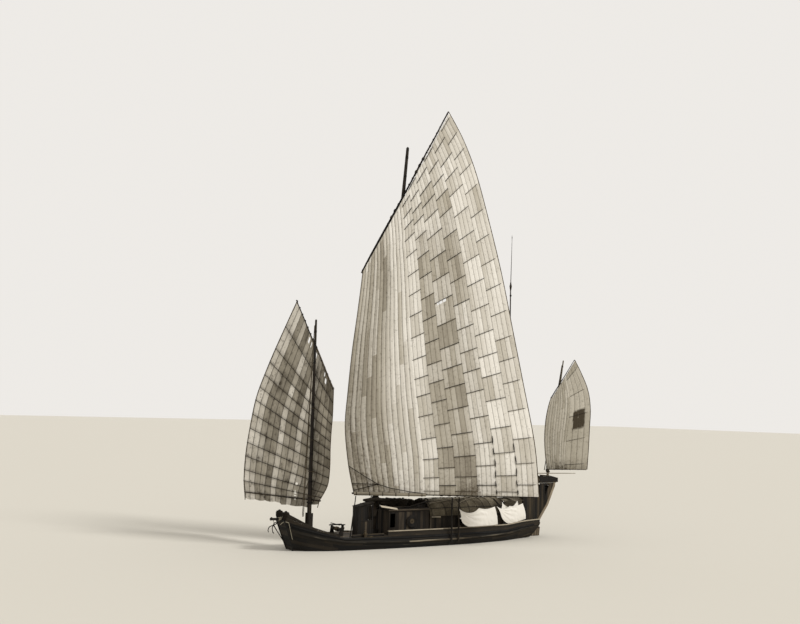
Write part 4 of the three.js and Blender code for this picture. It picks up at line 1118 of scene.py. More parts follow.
@dataclass
class HullLines:
    """Sections of the hull in metres, as in the frame.

    Columns: x, half breadth and z at the deck, half breadth and z at the wale, half breadth and z
    at the bilge, then x, half breadth and z of the floor.
    """

    rows: Sequence[tuple[float, ...]] = (
        (-10.15, 0.66, 1.95, 0.64, 1.3, 0.54, 0.25, -9.3, 0.42, -0.25),
        (-9.2, 1.02, 1.62, 1.01, 1.08, 0.89, 0.08, -8.55, 0.62, -0.6),
        (-7.8, 1.42, 1.2, 1.46, 0.8, 1.29, -0.12, -7.4, 0.85, -0.85),
        (-6.3, 1.7, 0.8, 1.76, 0.56, 1.54, -0.25, -6.1, 1.04, -0.95),
        (-3, 1.92, 0.8, 1.99, 0.45, 1.76, -0.35, -3, 1.2, -1),
        (0.5, 1.98, 0.8, 2.06, 0.42, 1.83, -0.38, 0.5, 1.25, -1),
        (4, 1.92, 0.8, 1.99, 0.45, 1.74, -0.3, 4, 1.15, -0.95),
        (7.2, 1.7, 0.8, 1.76, 0.56, 1.45, 0, 7.05, 0.93, -0.68),
        (8.8, 1.44, 1, 1.45, 0.76, 1.16, 0.24, 8.45, 0.74, -0.28),
        (10.65, 1.225, 1.15, 1.205, 0.93, 0.99, 0.52, 10.15, 0.62, 0.06),
    )

    def row(self, x: float) -> float:
        """Row position where the deck has a given x."""
        for k, (low, high) in enumerate(zip(self.rows, self.rows[1:])):
            if x <= high[0]:
                return max(0.0, k + (x - low[0]) / (high[0] - low[0]))
        return float(len(self.rows) - 1)

    def value(self, t: float, column: int) -> float:
        """Value of a column at row position t."""
        if column in (0, 2, 7):
            k = min(int(t), len(self.rows) - 2)
            return lerp(self.rows[k][column], self.rows[k + 1][column], t - k)
        return smooth_value(self.rows, column, t)

    def deck(self, x: float) -> float:
        """Deck height at x."""
        return self.value(self.row(x), 2)

    def half(self, x: float) -> float:
        """Half breadth of the deck at x."""
        return self.value(self.row(x), 1)

    def side(self, t: float, u: float) -> tuple[float, float]:
        """Half breadth and height at a place on the side.

        Args:
            t: Row position.
            u: 0 at the deck edge, 1 at the wale, 2 at the bilge and 3 at the floor.

        Returns:
            Half breadth and z.
        """
        ladder = [(self.value(t, column), self.value(t, column + 1)) for column in (1, 3, 5, 8)]
        k = min(int(u), 2)
        return (lerp(ladder[k][0], ladder[k + 1][0], u - k), lerp(ladder[k][1], ladder[k + 1][1], u - k))

    def point(self, t: float, u: float, side: int, out: float = 0.0) -> Vector:
        """Point on the hull's skin.

        Args:
            t: Row position.
            u: Place on the side, as in side.
            side: -1 for port, 1 for starboard.
            out: Distance outside the skin.

        Returns:
            The point.
        """
        half, z = self.side(t, u)
        low, high = self.side(t, min(3.0, u + 0.05)), self.side(t, max(0.0, u - 0.05))
        rise, run = high[1] - low[1], high[0] - low[0]
        size = hypot(rise, run)
        half, z = half + out * rise / size, z - out * run / size
        top, bottom = self.value(t, 2), self.value(t, 9)
        x = lerp(self.value(t, 7), self.value(t, 0), (z - bottom) / (top - bottom))
        return Vector((x, side * half, z))


LINES = HullLines()
BOW_HEIGHTS = ((-10.1, 0.56), (-9.3, 0.4), (-8.35, 0.18), (-7.4, 0.15), (-6.6, 0.11))
WAIST_HEIGHTS = ((-3.1, 0.33), (0.5, 0.325), (4, 0.33), (7.2, 0.35), (8.8, 0.3), (10.6, 0.22))


@dataclass
class Hull:
    """Planked hull with its deck, bulwarks, rails and wales."""

    topside_strakes: int = 3
    side_strakes: int = 4
    bottom_strakes: int = 4
    plank_proud: float = 0.01
    seam_deep: float = 0.008
    deck_plank: float = 0.23
    stern_joint: float = 7.9

    def build(self) -> None:
        """Builds the hull's parts."""
        self.build_shell()
        self.build_deck()
        for word, side in SIDES:
            self.build_edge("bow", BOW_HEIGHTS, word, side)
            self.build_edge("waist", WAIST_HEIGHTS, word, side)
            self.build_cap(word, side)
            self.build_wale("upper", 0.3, -9.7, 10.0, 0.11, word, side)
            self.build_wale("lower", 0.98, -9.5, 9.6, 0.12, word, side)

    def shell_bands(self) -> list[tuple[float, float]]:
        """Start and end of each strake on the side, from deck edge to floor."""
        bands: list[tuple[float, float]] = []
        for first, count in ((0, self.topside_strakes), (1, self.side_strakes), (2, self.bottom_strakes)):
            bands.extend((first + k / count, first + (k + 1) / count) for k in range(count))
        return bands

    def build_shell(self) -> None:
        """Strakes on both sides, the flat bottom and the boards across both ends."""
        sketch = Sketch(101)
        last = float(len(LINES.rows) - 1)
        for side in (-1, 1):
            for low, high in self.shell_bands():
                cuts = [0.0]
                while cuts[-1] < last - 1.2:
                    cuts.append(cuts[-1] + sketch.chance.uniform(1.1, 2.1))
                cuts[-1:] = [self.stern_joint, last] if self.stern_joint - cuts[-2] > 0.3 else [last]
                for start, end in zip(cuts, cuts[1:]):
                    self.add_strake(sketch, start, end, low, high, side)
        for k in range(6):
            self.add_bottom(sketch, lerp(-1.0, 1.0, k / 6), lerp(-1.0, 1.0, (k + 1) / 6))
        self.add_end(sketch, 0.0, -1.0)
        self.add_end(sketch, last, 1.0)
        sketch.build("hull_planks", HULL_WOOD, "hull")

    def add_strake(self, sketch: Sketch, start: float, end: float, low: float, high: float,
                   side: int) -> None:
        """Adds one plank of the side, with a groove along both edges.

        Args:
            sketch: Sketch that takes it.
            start: Row position of its fore end.
            end: Row position of its after end.
            low: Its upper edge on the side.
            high: Its lower edge.
            side: -1 for port, 1 for starboard.
        """
        edge = (high - low) * 0.05
        proud = [(u, self.plank_proud) for u in (low + edge, lerp(low, high, 0.5), high - edge)]
        profile = ((low, -self.seam_deep), *proud, (high, -self.seam_deep))
        rings = [[LINES.point(t, u, side, out) for u, out in profile] for t in stations(start, end, 0.1)]
        # strakes abaft the stern joint get high tones that reach the top colour: painted reflected light on
        # the stern quarter
        tone = sketch.chance.uniform(0.2, 1.3) if start > self.stern_joint - 0.2 else None
        sketch.sweep(rings, closed=False, tone=tone, flip=side < 0)

    def add_bottom(self, sketch: Sketch, left: float, right: float) -> None:
        """Adds one plank of the flat bottom between two shares of its half breadth."""
        rings = []
        for t in stations(0.0, len(LINES.rows) - 1.0, 0.2):
            half, z, x = LINES.value(t, 8), LINES.value(t, 9), LINES.value(t, 7)
            rings.append([(x, half * right, z), (x, half * left, z)])
        sketch.sweep(rings, closed=False)

    def add_end(self, sketch: Sketch, t: float, way: float) -> None:
        """Adds the boards across an end of the hull.

        Args:
            sketch: Sketch that takes them.
            t: Row position of the end.
            way: -1 for the bow, 1 for the stern.
        """
        count = 9
        out = 0.012 * way
        for k in range(count):
            low, high = 3.0 * k / count, 3.0 * (k + 1) / count
            edge = 0.03
            rings = []
            for side in (-1, 1):
                ring = []
                for u, proud in ((low, 0), (low + edge, out), (high - edge, out), (high, 0)):
                    point = LINES.point(t, u, side)
                    point.x += proud
                    ring.append(point)
                rings.append(ring)
            sketch.sweep(rings, closed=False, flip=way > 0)

    def build_deck(self) -> None:
        """Deck planks along the whole hull, on the deck's rise and fall."""
        sketch = Sketch(103)
        widest = max(row[1] for row in LINES.rows)
        count = math.ceil(2 * widest / self.deck_plank)
        for k in range(count):
            left = -widest + k * self.deck_plank
            right = left + self.deck_plank - 0.012
            rings = []
            for x in stations(-10.12, 10.62, 0.3):
                limit = LINES.half(x) - 0.012
                a, b = max(left, -limit), min(right, limit)
                if b - a < 0.03:
                    if rings:
                        break
                    continue
                z = LINES.deck(x)
                rings.append([(x, a, z - 0.03), (x, a, z - 0.003), (x, a + 0.006, z),
                              (x, b - 0.006, z), (x, b, z - 0.003), (x, b, z - 0.03)])
            if len(rings) > 1:
                sketch.sweep(rings, flip=True)
        sketch.build("deck_planking", DECK_WOOD)

    def build_edge(self, part: str, heights: Pairs, word: str, side: int) -> None:
        """Bulwark of two planks on the deck edge.

        Args:
            part: Word for its place, bow or waist.
            heights: Rows of x and height above the deck.
            word: Side as a word.
            side: Side as a sign.
        """
        sketch = Sketch(107 + side)
        thick = 0.05
        for low, high in ((0, 0.5), (0.5, 1)):
            rings = []
            for x in stations(heights[0][0], heights[-1][0], 0.3):
                tall = table_value(heights, x)
                base = LINES.deck(x)
                half = LINES.half(x)
                z0, z1 = base + tall * low + 0.002, base + tall * high - 0.002
                rings.append([(x, side * (half - inset), z) for inset, z in (
                    (0.005, z0), (0, z0 + 0.006), (0, z1 - 0.006), (0.005, z1), (thick - 0.005, z1),
                    (thick, z1 - 0.006), (thick, z0 + 0.006), (thick - 0.005, z0))])
            sketch.sweep(rings, flip=side > 0)
        for x in stations(heights[0][0] + 0.4, heights[-1][0] - 0.4, 1.15):
            base, half = LINES.deck(x), LINES.half(x)
            foot = Vector((x, side * (half - thick - 0.035), base))
            top = foot + UP * (table_value(heights, x) - 0.01)
            sketch.board(foot, top, AFT, 0.09, 0.07)
        sketch.build(f"{part}_bulwark_planks_{word}", HULL_WOOD, f"{part}_bulwark_{word}")

    def build_cap(self, word: str, side: int) -> None:
        """Pale cap rail of scarfed planks with worn edges."""
        sketch = Sketch(113 + side)
        cuts = (-3.1, 1.3, 5.9, 10.6)
        for start, end in zip(cuts, cuts[1:]):
            rings = []
            for x in stations(start, end - 0.004, 0.25):
                low = LINES.deck(x) + table_value(WAIST_HEIGHTS, x) + 0.001
                outer = LINES.half(x) + 0.045
                worn = 0.006 + 0.005 * wobble(x * 2.3, side, 1.0)
                rings.append([(x, side * (outer - inset), low + z) for inset, z in (
                    (0, 0.004), (0, 0.055 - worn), (worn * 1.4, 0.06), (0.15 - worn, 0.06),
                    (0.15, 0.055 - worn), (0.15, 0.004))])
            sketch.sweep(rings, flip=side > 0)
        sketch.build(f"cap_rail_planks_{word}", TRIM_WOOD, f"cap_rail_{word}")

    def build_wale(self, part: str, u: float, start: float, end: float, tall: float, word: str,
                   side: int) -> None:
        """Rubbing strake with rounded edges along the side.

        Args:
            part: Word for the strake, upper or lower.
            u: Its place on the side.
            start: Deck x of its fore end.
            end: Deck x of its after end.
            tall: Its height.
            word: Side as a word.
            side: Side as a sign.
        """
        sketch = Sketch(127 + side)
        lower = part == "lower"
        tones = ((-3, -0.8), (-1.5, 0.1), (3.7, -0.9)) if lower else ()
        worn = ((start, -1.3 if lower else -1.4), *tones, (end, 0))
        for (fore, tone), (aft, _) in zip(worn, worn[1:]):
            rings = []
            for t in stations(LINES.row(fore), LINES.row(aft), 0.1):
                middle = LINES.point(t, u, side)
                ring = []
                for k in range(9):
                    angle = lerp(-90, 90, k / 8)
                    z = sin(radians(angle)) * tall / 2
                    out = 0.06 * cos(radians(angle)) ** 0.5 if abs(angle) < 89 else -0.02
                    ring.append(middle + Vector((0, side * out, z)))
                rings.append(ring)
            sketch.sweep(rings, closed=False, tone=tone, flip=side > 0)
        if lower:
            for low, fore, aft in ((0.42, -7.4, -2.6), (0.66, -7, -1.2), (1.25, -6.6, 0.6), (1.55, -6, 2)):
                along = stations(LINES.row(fore), LINES.row(aft), 0.12)
                path = [LINES.point(t, low, side, 0.004) for t in along]
                sketch.tube(path, 0.011, 6, -0.9)
        finish = WALE_WOOD if lower else HULL_WOOD
        sketch.build(f"{part}_wale_log_{word}", finish, f"{part}_wale_{word}", slot="spar_wood")


@dataclass
class Mast:
    """Round mast with a stop for the lowest parrel, woldings and a tapered cap at its top, in metres."""

    name: str
    node: str
    x: float
    y: float
    rake: float
    foot: float
    length: float
    foot_radius: float
    top_radius: float
    shoulder: float
    halyard_side: Vector
    bands: Sequence[float]
    finish: Finish = SPAR_WOOD
    wander: float = 0.012

    def place(self) -> Matrix:
        """Frame of the mast, with its axis as Z."""
        return leaning(self.x, self.y, self.rake)

    def radius(self, z: float) -> float:
        """Radius at a distance along the axis."""
        share = (z - self.foot) / self.length
        return lerp(self.foot_radius, self.top_radius, min(1.0, max(0.0, share)))

    def axis(self, z: float) -> Vector:
        """Point on the slightly bent axis."""
        at = Vector((0, 0, z))
        bend = push(Vector((self.x, self.y, z * 0.22))) * self.wander
        return self.place() @ (at + Vector((bend.x, bend.y, 0)))

    def build(self) -> None:
        """Builds the mast and its halyard."""
        sketch = Sketch(int(self.length * 10))
        top = self.foot + self.length
        heights = stations(self.foot, top, 0.5)
        sketch.tube([self.axis(z) for z in heights], [self.radius(z) for z in heights], 18, 0.0)
        if self.shoulder:
            stop = self.radius(self.shoulder)
            rows = ((-0.13, 0), (-0.07, 0.052), (-0.045, 0.056), (-0.02, 0.052), (0, 0.03))
            sketch.tube([self.axis(self.shoulder + z) for z, _ in rows], [stop + r for _, r in rows], 18,
                        -0.6)
        for z in self.bands:
            wide = sketch.chance.uniform(0.05, 0.11)
            r = self.radius(z)
            for k in range(4):
                at = z + wide * (k - 1.5) * 0.55
                sketch.tube([self.axis(at + wide * d) for d in (-0.25, -0.1, 0.1, 0.25)],
                            [r, r + 0.012, r + 0.012, r], 14, -0.9)
        tip = self.top_radius
        sketch.tube([self.axis(top - 0.02), self.axis(top + 0.02), self.axis(top + tip * 0.8)],
                    [tip, tip * 0.92, tip * 0.35], 14, -0.3)
        sketch.build(f"{self.name}_pole", self.finish, self.node)
        if self.shoulder:
            self.build_halyard()

    def build_halyard(self) -> None:
        """Tie and fall of the halyard, clear of the turning sail, made fast at the foot."""
        sketch = Sketch(int(self.length * 10) + 1)
        turn = self.place().to_3x3()
        out = turn @ self.halyard_side
        across = (turn @ UP).cross(out).normalized()
        top = self.foot + self.length - 0.35
        low = self.foot + 0.75
        for k, (reach, shift) in enumerate(((0.15, -0.05), (0.19, 0.04), (0.17, 0.11))):
            path = []
            for z in stations(low, top, 1.2):
                share = (z - low) / (top - low)
                gap = self.radius(z) + lerp(reach * 1.6, 0.02, share)
                path.append(self.axis(z) + out * gap + across * lerp(shift, shift * 0.3, share))
            sketch.tube(path, 0.016 if k else 0.022, 6)
        r = self.radius(low)
        pin = self.axis(low) + out * (r + 0.02)
        half = min(0.22, 1.5 * r)
        sketch.tube([pin - across * half, pin, pin + across * half], [0.02, 0.03, 0.02], 8, -0.5)
        for turn_number in range(5):
            at = pin + out * (0.03 + 0.008 * turn_number)
            sketch.coil(at + UP * (0.03 * turn_number - 0.08), 0.09, 1.4, 0.014, out, 0.01)
        sketch.build(f"{self.name}_halyard", HEMP)


@dataclass
class Masts:
    """The four masts and what holds their feet."""

    def build(self) -> None:
        """Builds the masts, the foremast's cheeks and the mainmast's partners."""
        deck = LINES.deck
        Mast("foremast", "foremast", -8.1, 0.0, 0.0, deck(-8.25) + 0.0003, 13.82, 0.15, 0.07, 3.08,
             Vector((-0.8, 0.6, 0)), (2.3, 4.4, 6.2, 9.5, 12.3, 14.4)).build()
        Mast("mainmast", "mainmast", -3.3, 0.0, 4.3, 0.819, 27.5, 0.22, 0.105, 3.29,
             Vector((0, 1, 0)), (1.9, 4.6, 7.4, 10.1, 13.2, 16.3, 19.8, 23, 26.2, 27.6)).build()
        Mast("mizzenmast", "mizzen_mast", 11.6, 0.0, 9.5, 4.228, 9.45, 0.095, 0.05, 4.95,
             Vector((0, 1, 0)), (5.6, 7.3, 9.4, 11.6, 13.2), POLE_WOOD).build()
        self.build_vane_mast()
        self.build_steps()

    def build_vane_mast(self) -> None:
        """Slender mast with its long vane pole and spear head."""
        sketch = Sketch(211)
        place = leaning(9.0, 0.9, 0.6)
        rows = ((0.075, 1.11), (0.07, 4), (0.06, 10), (0.05, 16), (0.045, 18.8), (0.085, 19.05),
                (0.095, 19.15), (0.07, 19.25), (0.03, 19.5), (0.022, 21), (0.014, 22.9), (0.03, 22.98),
                (0.004, 23.2))
        path = [place @ Vector((0.01 * sin(z * 0.9), 0.01 * cos(z * 0.7), z)) for _, z in rows]
        sketch.tube(path, [r for r, _ in rows], 12, 0.0)
        for z in (3.0, 6.5, 11.0, 15.0, 18.4):
            at = place @ Vector((0, 0, z))
            sketch.tube([at + UP * d for d in (-0.07, -0.04, 0.04, 0.07)], [0.05, 0.078, 0.078, 0.05], 12,
                        -0.9)
        sketch.build("vane_mast_pole", SPAR_WOOD, "vane_mast")

    def build_steps(self) -> None:
        """Cheeks of the foremast with their bolts and wedges, and the mainmast's partners."""
        sketch = Sketch(223)
        base = LINES.deck(-7.84) - 0.02
        for side in (-1, 1):
            y = side * 0.207
            low = Vector((-8.1, y, LINES.deck(-7.93) + 0.002))
            sketch.board(low, (-8.1, y, base + 1.15), AFT, 0.34, 0.088, None, 0.015)
            for z in (0.35, 0.85):
                at = Vector((-8.1, y + side * 0.045, base + z))
                sketch.lathe(((0, 0), (0.03, 0), (0.03, 0.02), (0.015, 0.03), (0, 0.03)), at,
                             STARBOARD * side, 10, -0.8)
        for x in (-8.305, -7.895):
            z = LINES.deck(x + 0.05)
            sketch.board((x, -0.25, z + 0.11), (x, 0.25, z + 0.11), UP, 0.2, 0.08, None, 0.01)
        sketch.build("foremast_cheeks", SPAR_WOOD, "foremast_tabernacle")
        sketch = Sketch(227)
        for y in (-0.32, 0.32):
            sketch.board((-3.7, y, 0.95), (-2.98, y, 0.95), UP, 0.29, 0.115, None, 0.012)
        for x in (-3.66, -2.98):
            sketch.board((x, -0.26, 0.93), (x, 0.26, 0.93), UP, 0.25, 0.1, None, 0.012)
        for angle in range(0, 360, 45):
            a = radians(angle)
            at = Vector((-3.23 + 0.245 * cos(a), 0.245 * sin(a), 1.02))
            sketch.board(at - UP * 0.1, at + UP * 0.08, (-sin(a), cos(a), 0), 0.09, 0.04)
        sketch.build("mainmast_wedges", SPAR_WOOD, "mainmast_partners")


@dataclass
class BoardWall:
    """Wall of upright boards on a straight line, with framed openings.

    openings hold start and end along the wall and low and high z.
    """

    start: Point
    end: Point
    top: Callable[[float], float]
    thick: float = 0.046
    board: float = 0.19
    openings: Sequence[tuple[float, float, float, float]] = ()

    def draw(self, sketch: Sketch) -> None:
        """Adds the boards and the frames round the openings to a sketch."""
        start, run = Vector(self.start), Vector(self.end) - Vector(self.start)
        length = run.length
        way = run.normalized()
        out = way.cross(UP)
        marks = {0.0, length}
        marks.update(edge for opening in self.openings for edge in opening[:2])
        at = 0.0
        while at < length:
            at += self.board * sketch.chance.uniform(0.75, 1.3)
            if at < length - 0.05 and all(abs(at - m) > 0.05 for m in marks):
                marks.add(at)
        edges = sorted(marks)
        for a, b in zip(edges, edges[1:]):
            low = start.z
            high = min(self.top(a), self.top(b), self.top((a + b) / 2))
            holes = sorted((z0, z1) for a0, a1, z0, z1 in self.openings if a0 <= a + 1e-4 and b <= a1 + 1e-4)
            spans = []
            for z0, z1 in holes:
                spans.append((low, z0))
                low = z1
            spans.append((low, high))
            middle = start + way * (a + b) / 2 + out * sketch.chance.uniform(-0.003, 0.003)
            for z0, z1 in spans:
                if z1 - z0 > 0.02:
                    sketch.board((middle.x, middle.y, z0), (middle.x, middle.y, z1), way,
                                 b - a - 0.005, self.thick - 0.006)
        for a0, a1, z0, z1 in self.openings:
            for side in (-1, 1):
                face = out * side * (self.thick / 2 + 0.008)
                left, right = start + way * a0 + face, start + way * a1 + face
                for point, shift in ((left, -0.03), (right, 0.03)):
                    foot = point + way * shift
                    sketch.board((foot.x, foot.y, z0 - 0.05), (foot.x, foot.y, z1 + 0.05), way,
                                 0.055, 0.022, -0.5)
                for z in (z0 - 0.03, z1 + 0.03):
                    sketch.board((left.x, left.y, z), (right.x, right.y, z), UP, 0.055, 0.022, -0.5)


@dataclass
class PlankPanel:
    """Flat upright panel of any outline on a plane of constant y, filled with boards.

    outline and holes are rows of x and z; boards run upright, or along x when level is set.
    """

    outline: Pairs
    y: float
    thick: float
    board: float = 0.2
    holes: Sequence[Pairs] = ()
    level: bool = False

    def draw(self, sketch: Sketch, tone: float | None = None) -> None:
        """Adds the boards to a sketch."""
        across = 1 if self.level else 0
        along = 1 - across
        rings = [self.outline, *self.holes]
        edges = [(ring[k], ring[(k + 1) % len(ring)]) for ring in rings for k in range(len(ring))]
        marks = {point[across] for ring in rings for point in ring}
        low, high = min(marks), max(marks)
        seams = stations(low, high, self.board)
        borders = sorted(marks | set(seams))
        tones = [sketch.chance.uniform(-1.0, 1.0) if tone is None else tone for _ in seams]
        for a, b in zip(borders, borders[1:]):
            if b - a < 1e-4:
                continue
            ends = []
            for place in (a + 1e-5, b - 1e-5):
                cuts = []
                for p, q in edges:
                    if (p[across] - place) * (q[across] - place) < 0:
                        share = (place - p[across]) / (q[across] - p[across])
                        cuts.append(lerp(p[along], q[along], share))
                ends.append(sorted(cuts))
            number = max(k for k, seam in enumerate(seams) if seam <= a + 1e-4)
            gap_a = 0.002 if any(abs(a - seam) < 1e-4 for seam in seams) else 0.0
            gap_b = 0.002 if any(abs(b - seam) < 1e-4 for seam in seams) else 0.0
            for k in range(0, len(ends[0]) - 1, 2):
                self.add_board(sketch, (a + gap_a, b - gap_b), (ends[0][k:k + 2], ends[1][k:k + 2]),
                               tones[number])

    def add_board(self, sketch: Sketch, across: tuple[float, float], along: Sequence[Sequence[float]],
                  tone: float) -> None:
        """Adds one board.

        Args:
            sketch: Sketch that takes it.
            across: Its two edges.
            along: Start and end of each of the two edges.
            tone: Its tone.
        """
        half = self.thick / 2
        bevel = min(0.006, half / 2, (across[1] - across[0]) / 4)
        rings = []
        for share in (0.0, 1.0):
            ring = []
            for shift, out in ((0, -half + bevel), (bevel, -half), (-bevel, -half), (0, -half + bevel),
                               (0, half - bevel), (-bevel, half), (bevel, half), (0, half - bevel)):
                far = len(ring) in (2, 3, 4, 5)
                edge = along[1] if far else along[0]
                a = (across[1] if far else across[0]) + shift
                c = lerp(edge[0], edge[1], share)
                ring.append((c, self.y + out, a) if self.level else (a, self.y + out, c))
            rings.append(ring)
        sketch.sweep(rings, tone=tone, flip=not self.level)


@dataclass
class Shelter:
    """Narrow shelter on the port side ahead of the mainmast, open aft and partly to port."""

    fore: float = -5.13
    aft: float = -3.95
    port: float = -1.3
    starboard: float = -0.55
    low_wall: float = 1.85
    floor: float = 0.8
    eave: float = 0.06

    def roof(self, x: float) -> float:
        """Height of the underside of the roof, which rises aft."""
        return lerp(2.73, 3.02, (x - self.fore + self.eave) / (self.aft - self.fore + 2 * self.eave))

    def slab(self, x0: float, x1: float, clear: float = 0.0) -> list[tuple[float, float]]:
        """Outline of a wall from one x to another, from the floor up to the roof."""
        return [(x0, self.floor), (x1, self.floor), (x1, self.roof(x1) - clear), (x0, self.roof(x0) - clear)]

    def build(self) -> None:
        """Builds the frame, the walls, the roof and the leaning pole."""
        sketch = Sketch(307)
        port, starboard = self.port + 0.045, self.starboard - 0.045
        fore, aft, narrow = self.fore + 0.09, self.aft - 0.09, self.fore + 0.56
        for y in (port, starboard):
            for x in (self.fore + 0.045, self.aft - 0.045):
                top = Vector((x, y, self.roof(x) - 0.006))
                sketch.board((x, y, self.floor), top, AFT, 0.085, 0.085, -0.9, 0.01)
            for z, rise in ((self.low_wall - 0.03, 0), (self.roof(self.fore) - 0.05, 0.2)):
                sketch.board((fore, y, z), (aft, y, z + rise), UP, 0.08, 0.07, -0.6)
        PlankPanel(self.slab(fore, aft, 0.09), starboard, 0.046).draw(sketch, -0.6)
        PlankPanel(self.slab(fore, narrow, 0.09), port, 0.046, 0.16).draw(sketch)
        low = self.low_wall - 0.07
        PlankPanel([(narrow, self.floor), (aft, self.floor), (aft, low), (narrow, low)], port,
                   0.046).draw(sketch)
        front = self.fore + 0.045
        top_z = self.roof(front) - 0.02
        BoardWall((front, port + 0.05, self.floor), (front, starboard - 0.05, self.floor),
                  lambda a: top_z).draw(sketch)
        sketch.build("shelter_boards", HOUSE_WOOD, "fore_shelter_frame")
        self.build_roof()
        pole = Sketch(313)
        foot, head = Vector((-5.77, -1.46, self.floor + 0.002)), Vector((-5.42, -1.46, 3.52))
        path = [foot.lerp(head, k / 8) + Vector((0.008 * sin(k * 1.3), 0.005 * cos(k), 0)) for k in range(9)]
        pole.tube(path, [lerp(0.041, 0.033, k / 8) for k in range(9)], 10, -0.8)
        pole.build("shelter_pole_bamboo", SPAR_WOOD, "shelter_pole")

    def build_roof(self) -> None:
        """Roof boards with cross battens."""
        roof = Sketch(311)
        x0, x1 = self.fore - self.eave, self.aft + self.eave
        port, starboard = self.port - self.eave, self.starboard + self.eave
        count = 5
        rise = self.roof(x1) - self.roof(x0)
        for k in range(count):
            y = lerp(port, starboard, (k + 0.5) / count)
            end = roof.chance.uniform(0.0, 0.03)
            z = self.roof(x0) + 0.022 + 0.01 * (k % 2)
            roof.board((x0 + end, y, z), (x1 - end, y, z + rise), STARBOARD,
                       (starboard - port) / count - 0.006, 0.03, -0.5)
        for x in (x0 + 0.15, (x0 + x1) / 2, x1 - 0.15):
            z = self.roof(x) + 0.057
            roof.board((x, port + 0.03, z), (x, starboard - 0.03, z), AFT, 0.06, 0.02, -0.5)
        roof.build("shelter_roof_boards", HOUSE_WOOD, "fore_shelter_roof")


@dataclass
class House:
    """Plank-walled house abaft the mainmast, with its door, windows and roof."""

    fore: float = -2.7
    aft: float = 0.56
    half: float = 1.3
    wall_top: float = 2.43
    floor: float = 0.8

    def build(self) -> None:
        """Builds walls, door and roof."""
        sketch = Sketch(331)
        inset = 0.025
        window = (0.09, 0.49, 1.3, 2.24)
        for y in (-self.half + inset, self.half - inset):
            BoardWall((self.fore, y, self.floor), (self.aft, y, self.floor), lambda a: self.wall_top,
                      openings=(window,)).draw(sketch)
            for z in (self.floor + 0.06, self.wall_top - 0.05):
                out = -0.035 if y < 0 else 0.035
                sketch.board((self.fore, y + out, z), (self.aft, y + out, z), UP, 0.09, 0.025, -0.4)
        reach = self.half - 0.05
        for x, a0, a1 in ((self.fore + inset, 0.33 + reach, 0.93 + reach),
                          (self.aft - inset, reach - 0.35, reach + 0.35)):
            BoardWall((x, -reach, self.floor), (x, reach, self.floor), lambda a: self.wall_top,
                      openings=((a0, a1, 0.892, 2.22),)).draw(sketch)
        sketch.build("house_boards", HOUSE_WOOD, "house_walls")
        self.build_door()
        self.build_roof()

    def build_door(self) -> None:
        """Door of boards on two ledges, with a ring."""
        sketch = Sketch(337)
        x = self.fore + 0.025
        for k in range(4):
            y = lerp(0.34, 0.92, (k + 0.5) / 4)
            sketch.board((x, y, 0.892), (x, y, 2.205), STARBOARD, 0.58 / 4 - 0.004, 0.026)
        for z in (1.1, 1.95):
            sketch.board((x + 0.018, 0.37, z), (x + 0.018, 0.89, z), UP, 0.09, 0.014, -0.4)
        sketch.coil((x - 0.022, 0.42, 1.52), 0.035, 1.0, 0.006, AFT)
        sketch.build("door_boards", HOUSE_WOOD, "house_door", "door")

    def build_roof(self) -> None:
        """Lapped roof boards with a low crown, edge boards and battens."""
        sketch = Sketch(347)
        reach = self.half + 0.09
        x0, x1 = self.fore - 0.09, self.aft + 0.04
        count = 15
        for k in range(count):
            y = lerp(-reach, reach, (k + 0.5) / count)
            z = self.wall_top + 0.045 + 0.11 * (1 - abs(y) / reach)
            tilt = Vector((0, 1, -0.11 / reach if y > 0 else 0.11 / reach)).normalized()
            lift = 0.012 * (k % 2)
            sketch.board((x0 + 0.02, y, z + lift), (x1, y, z + lift), tilt, 2 * reach / count + 0.01, 0.028)
        for y in (-reach, reach):
            sketch.board((x0, y, self.wall_top + 0.04), (x1, y, self.wall_top + 0.04), UP, 0.085, 0.03, 0.9)
        for x in (x0 + 0.01, x1 - 0.01):
            for side in (-1, 1):
                sketch.board((x, side * reach, self.wall_top + 0.045), (x, 0, self.wall_top + 0.15), UP,
                             0.08, 0.03, 0.3)
        sketch.build("house_roof_boards", HOUSE_WOOD, "house_roof")


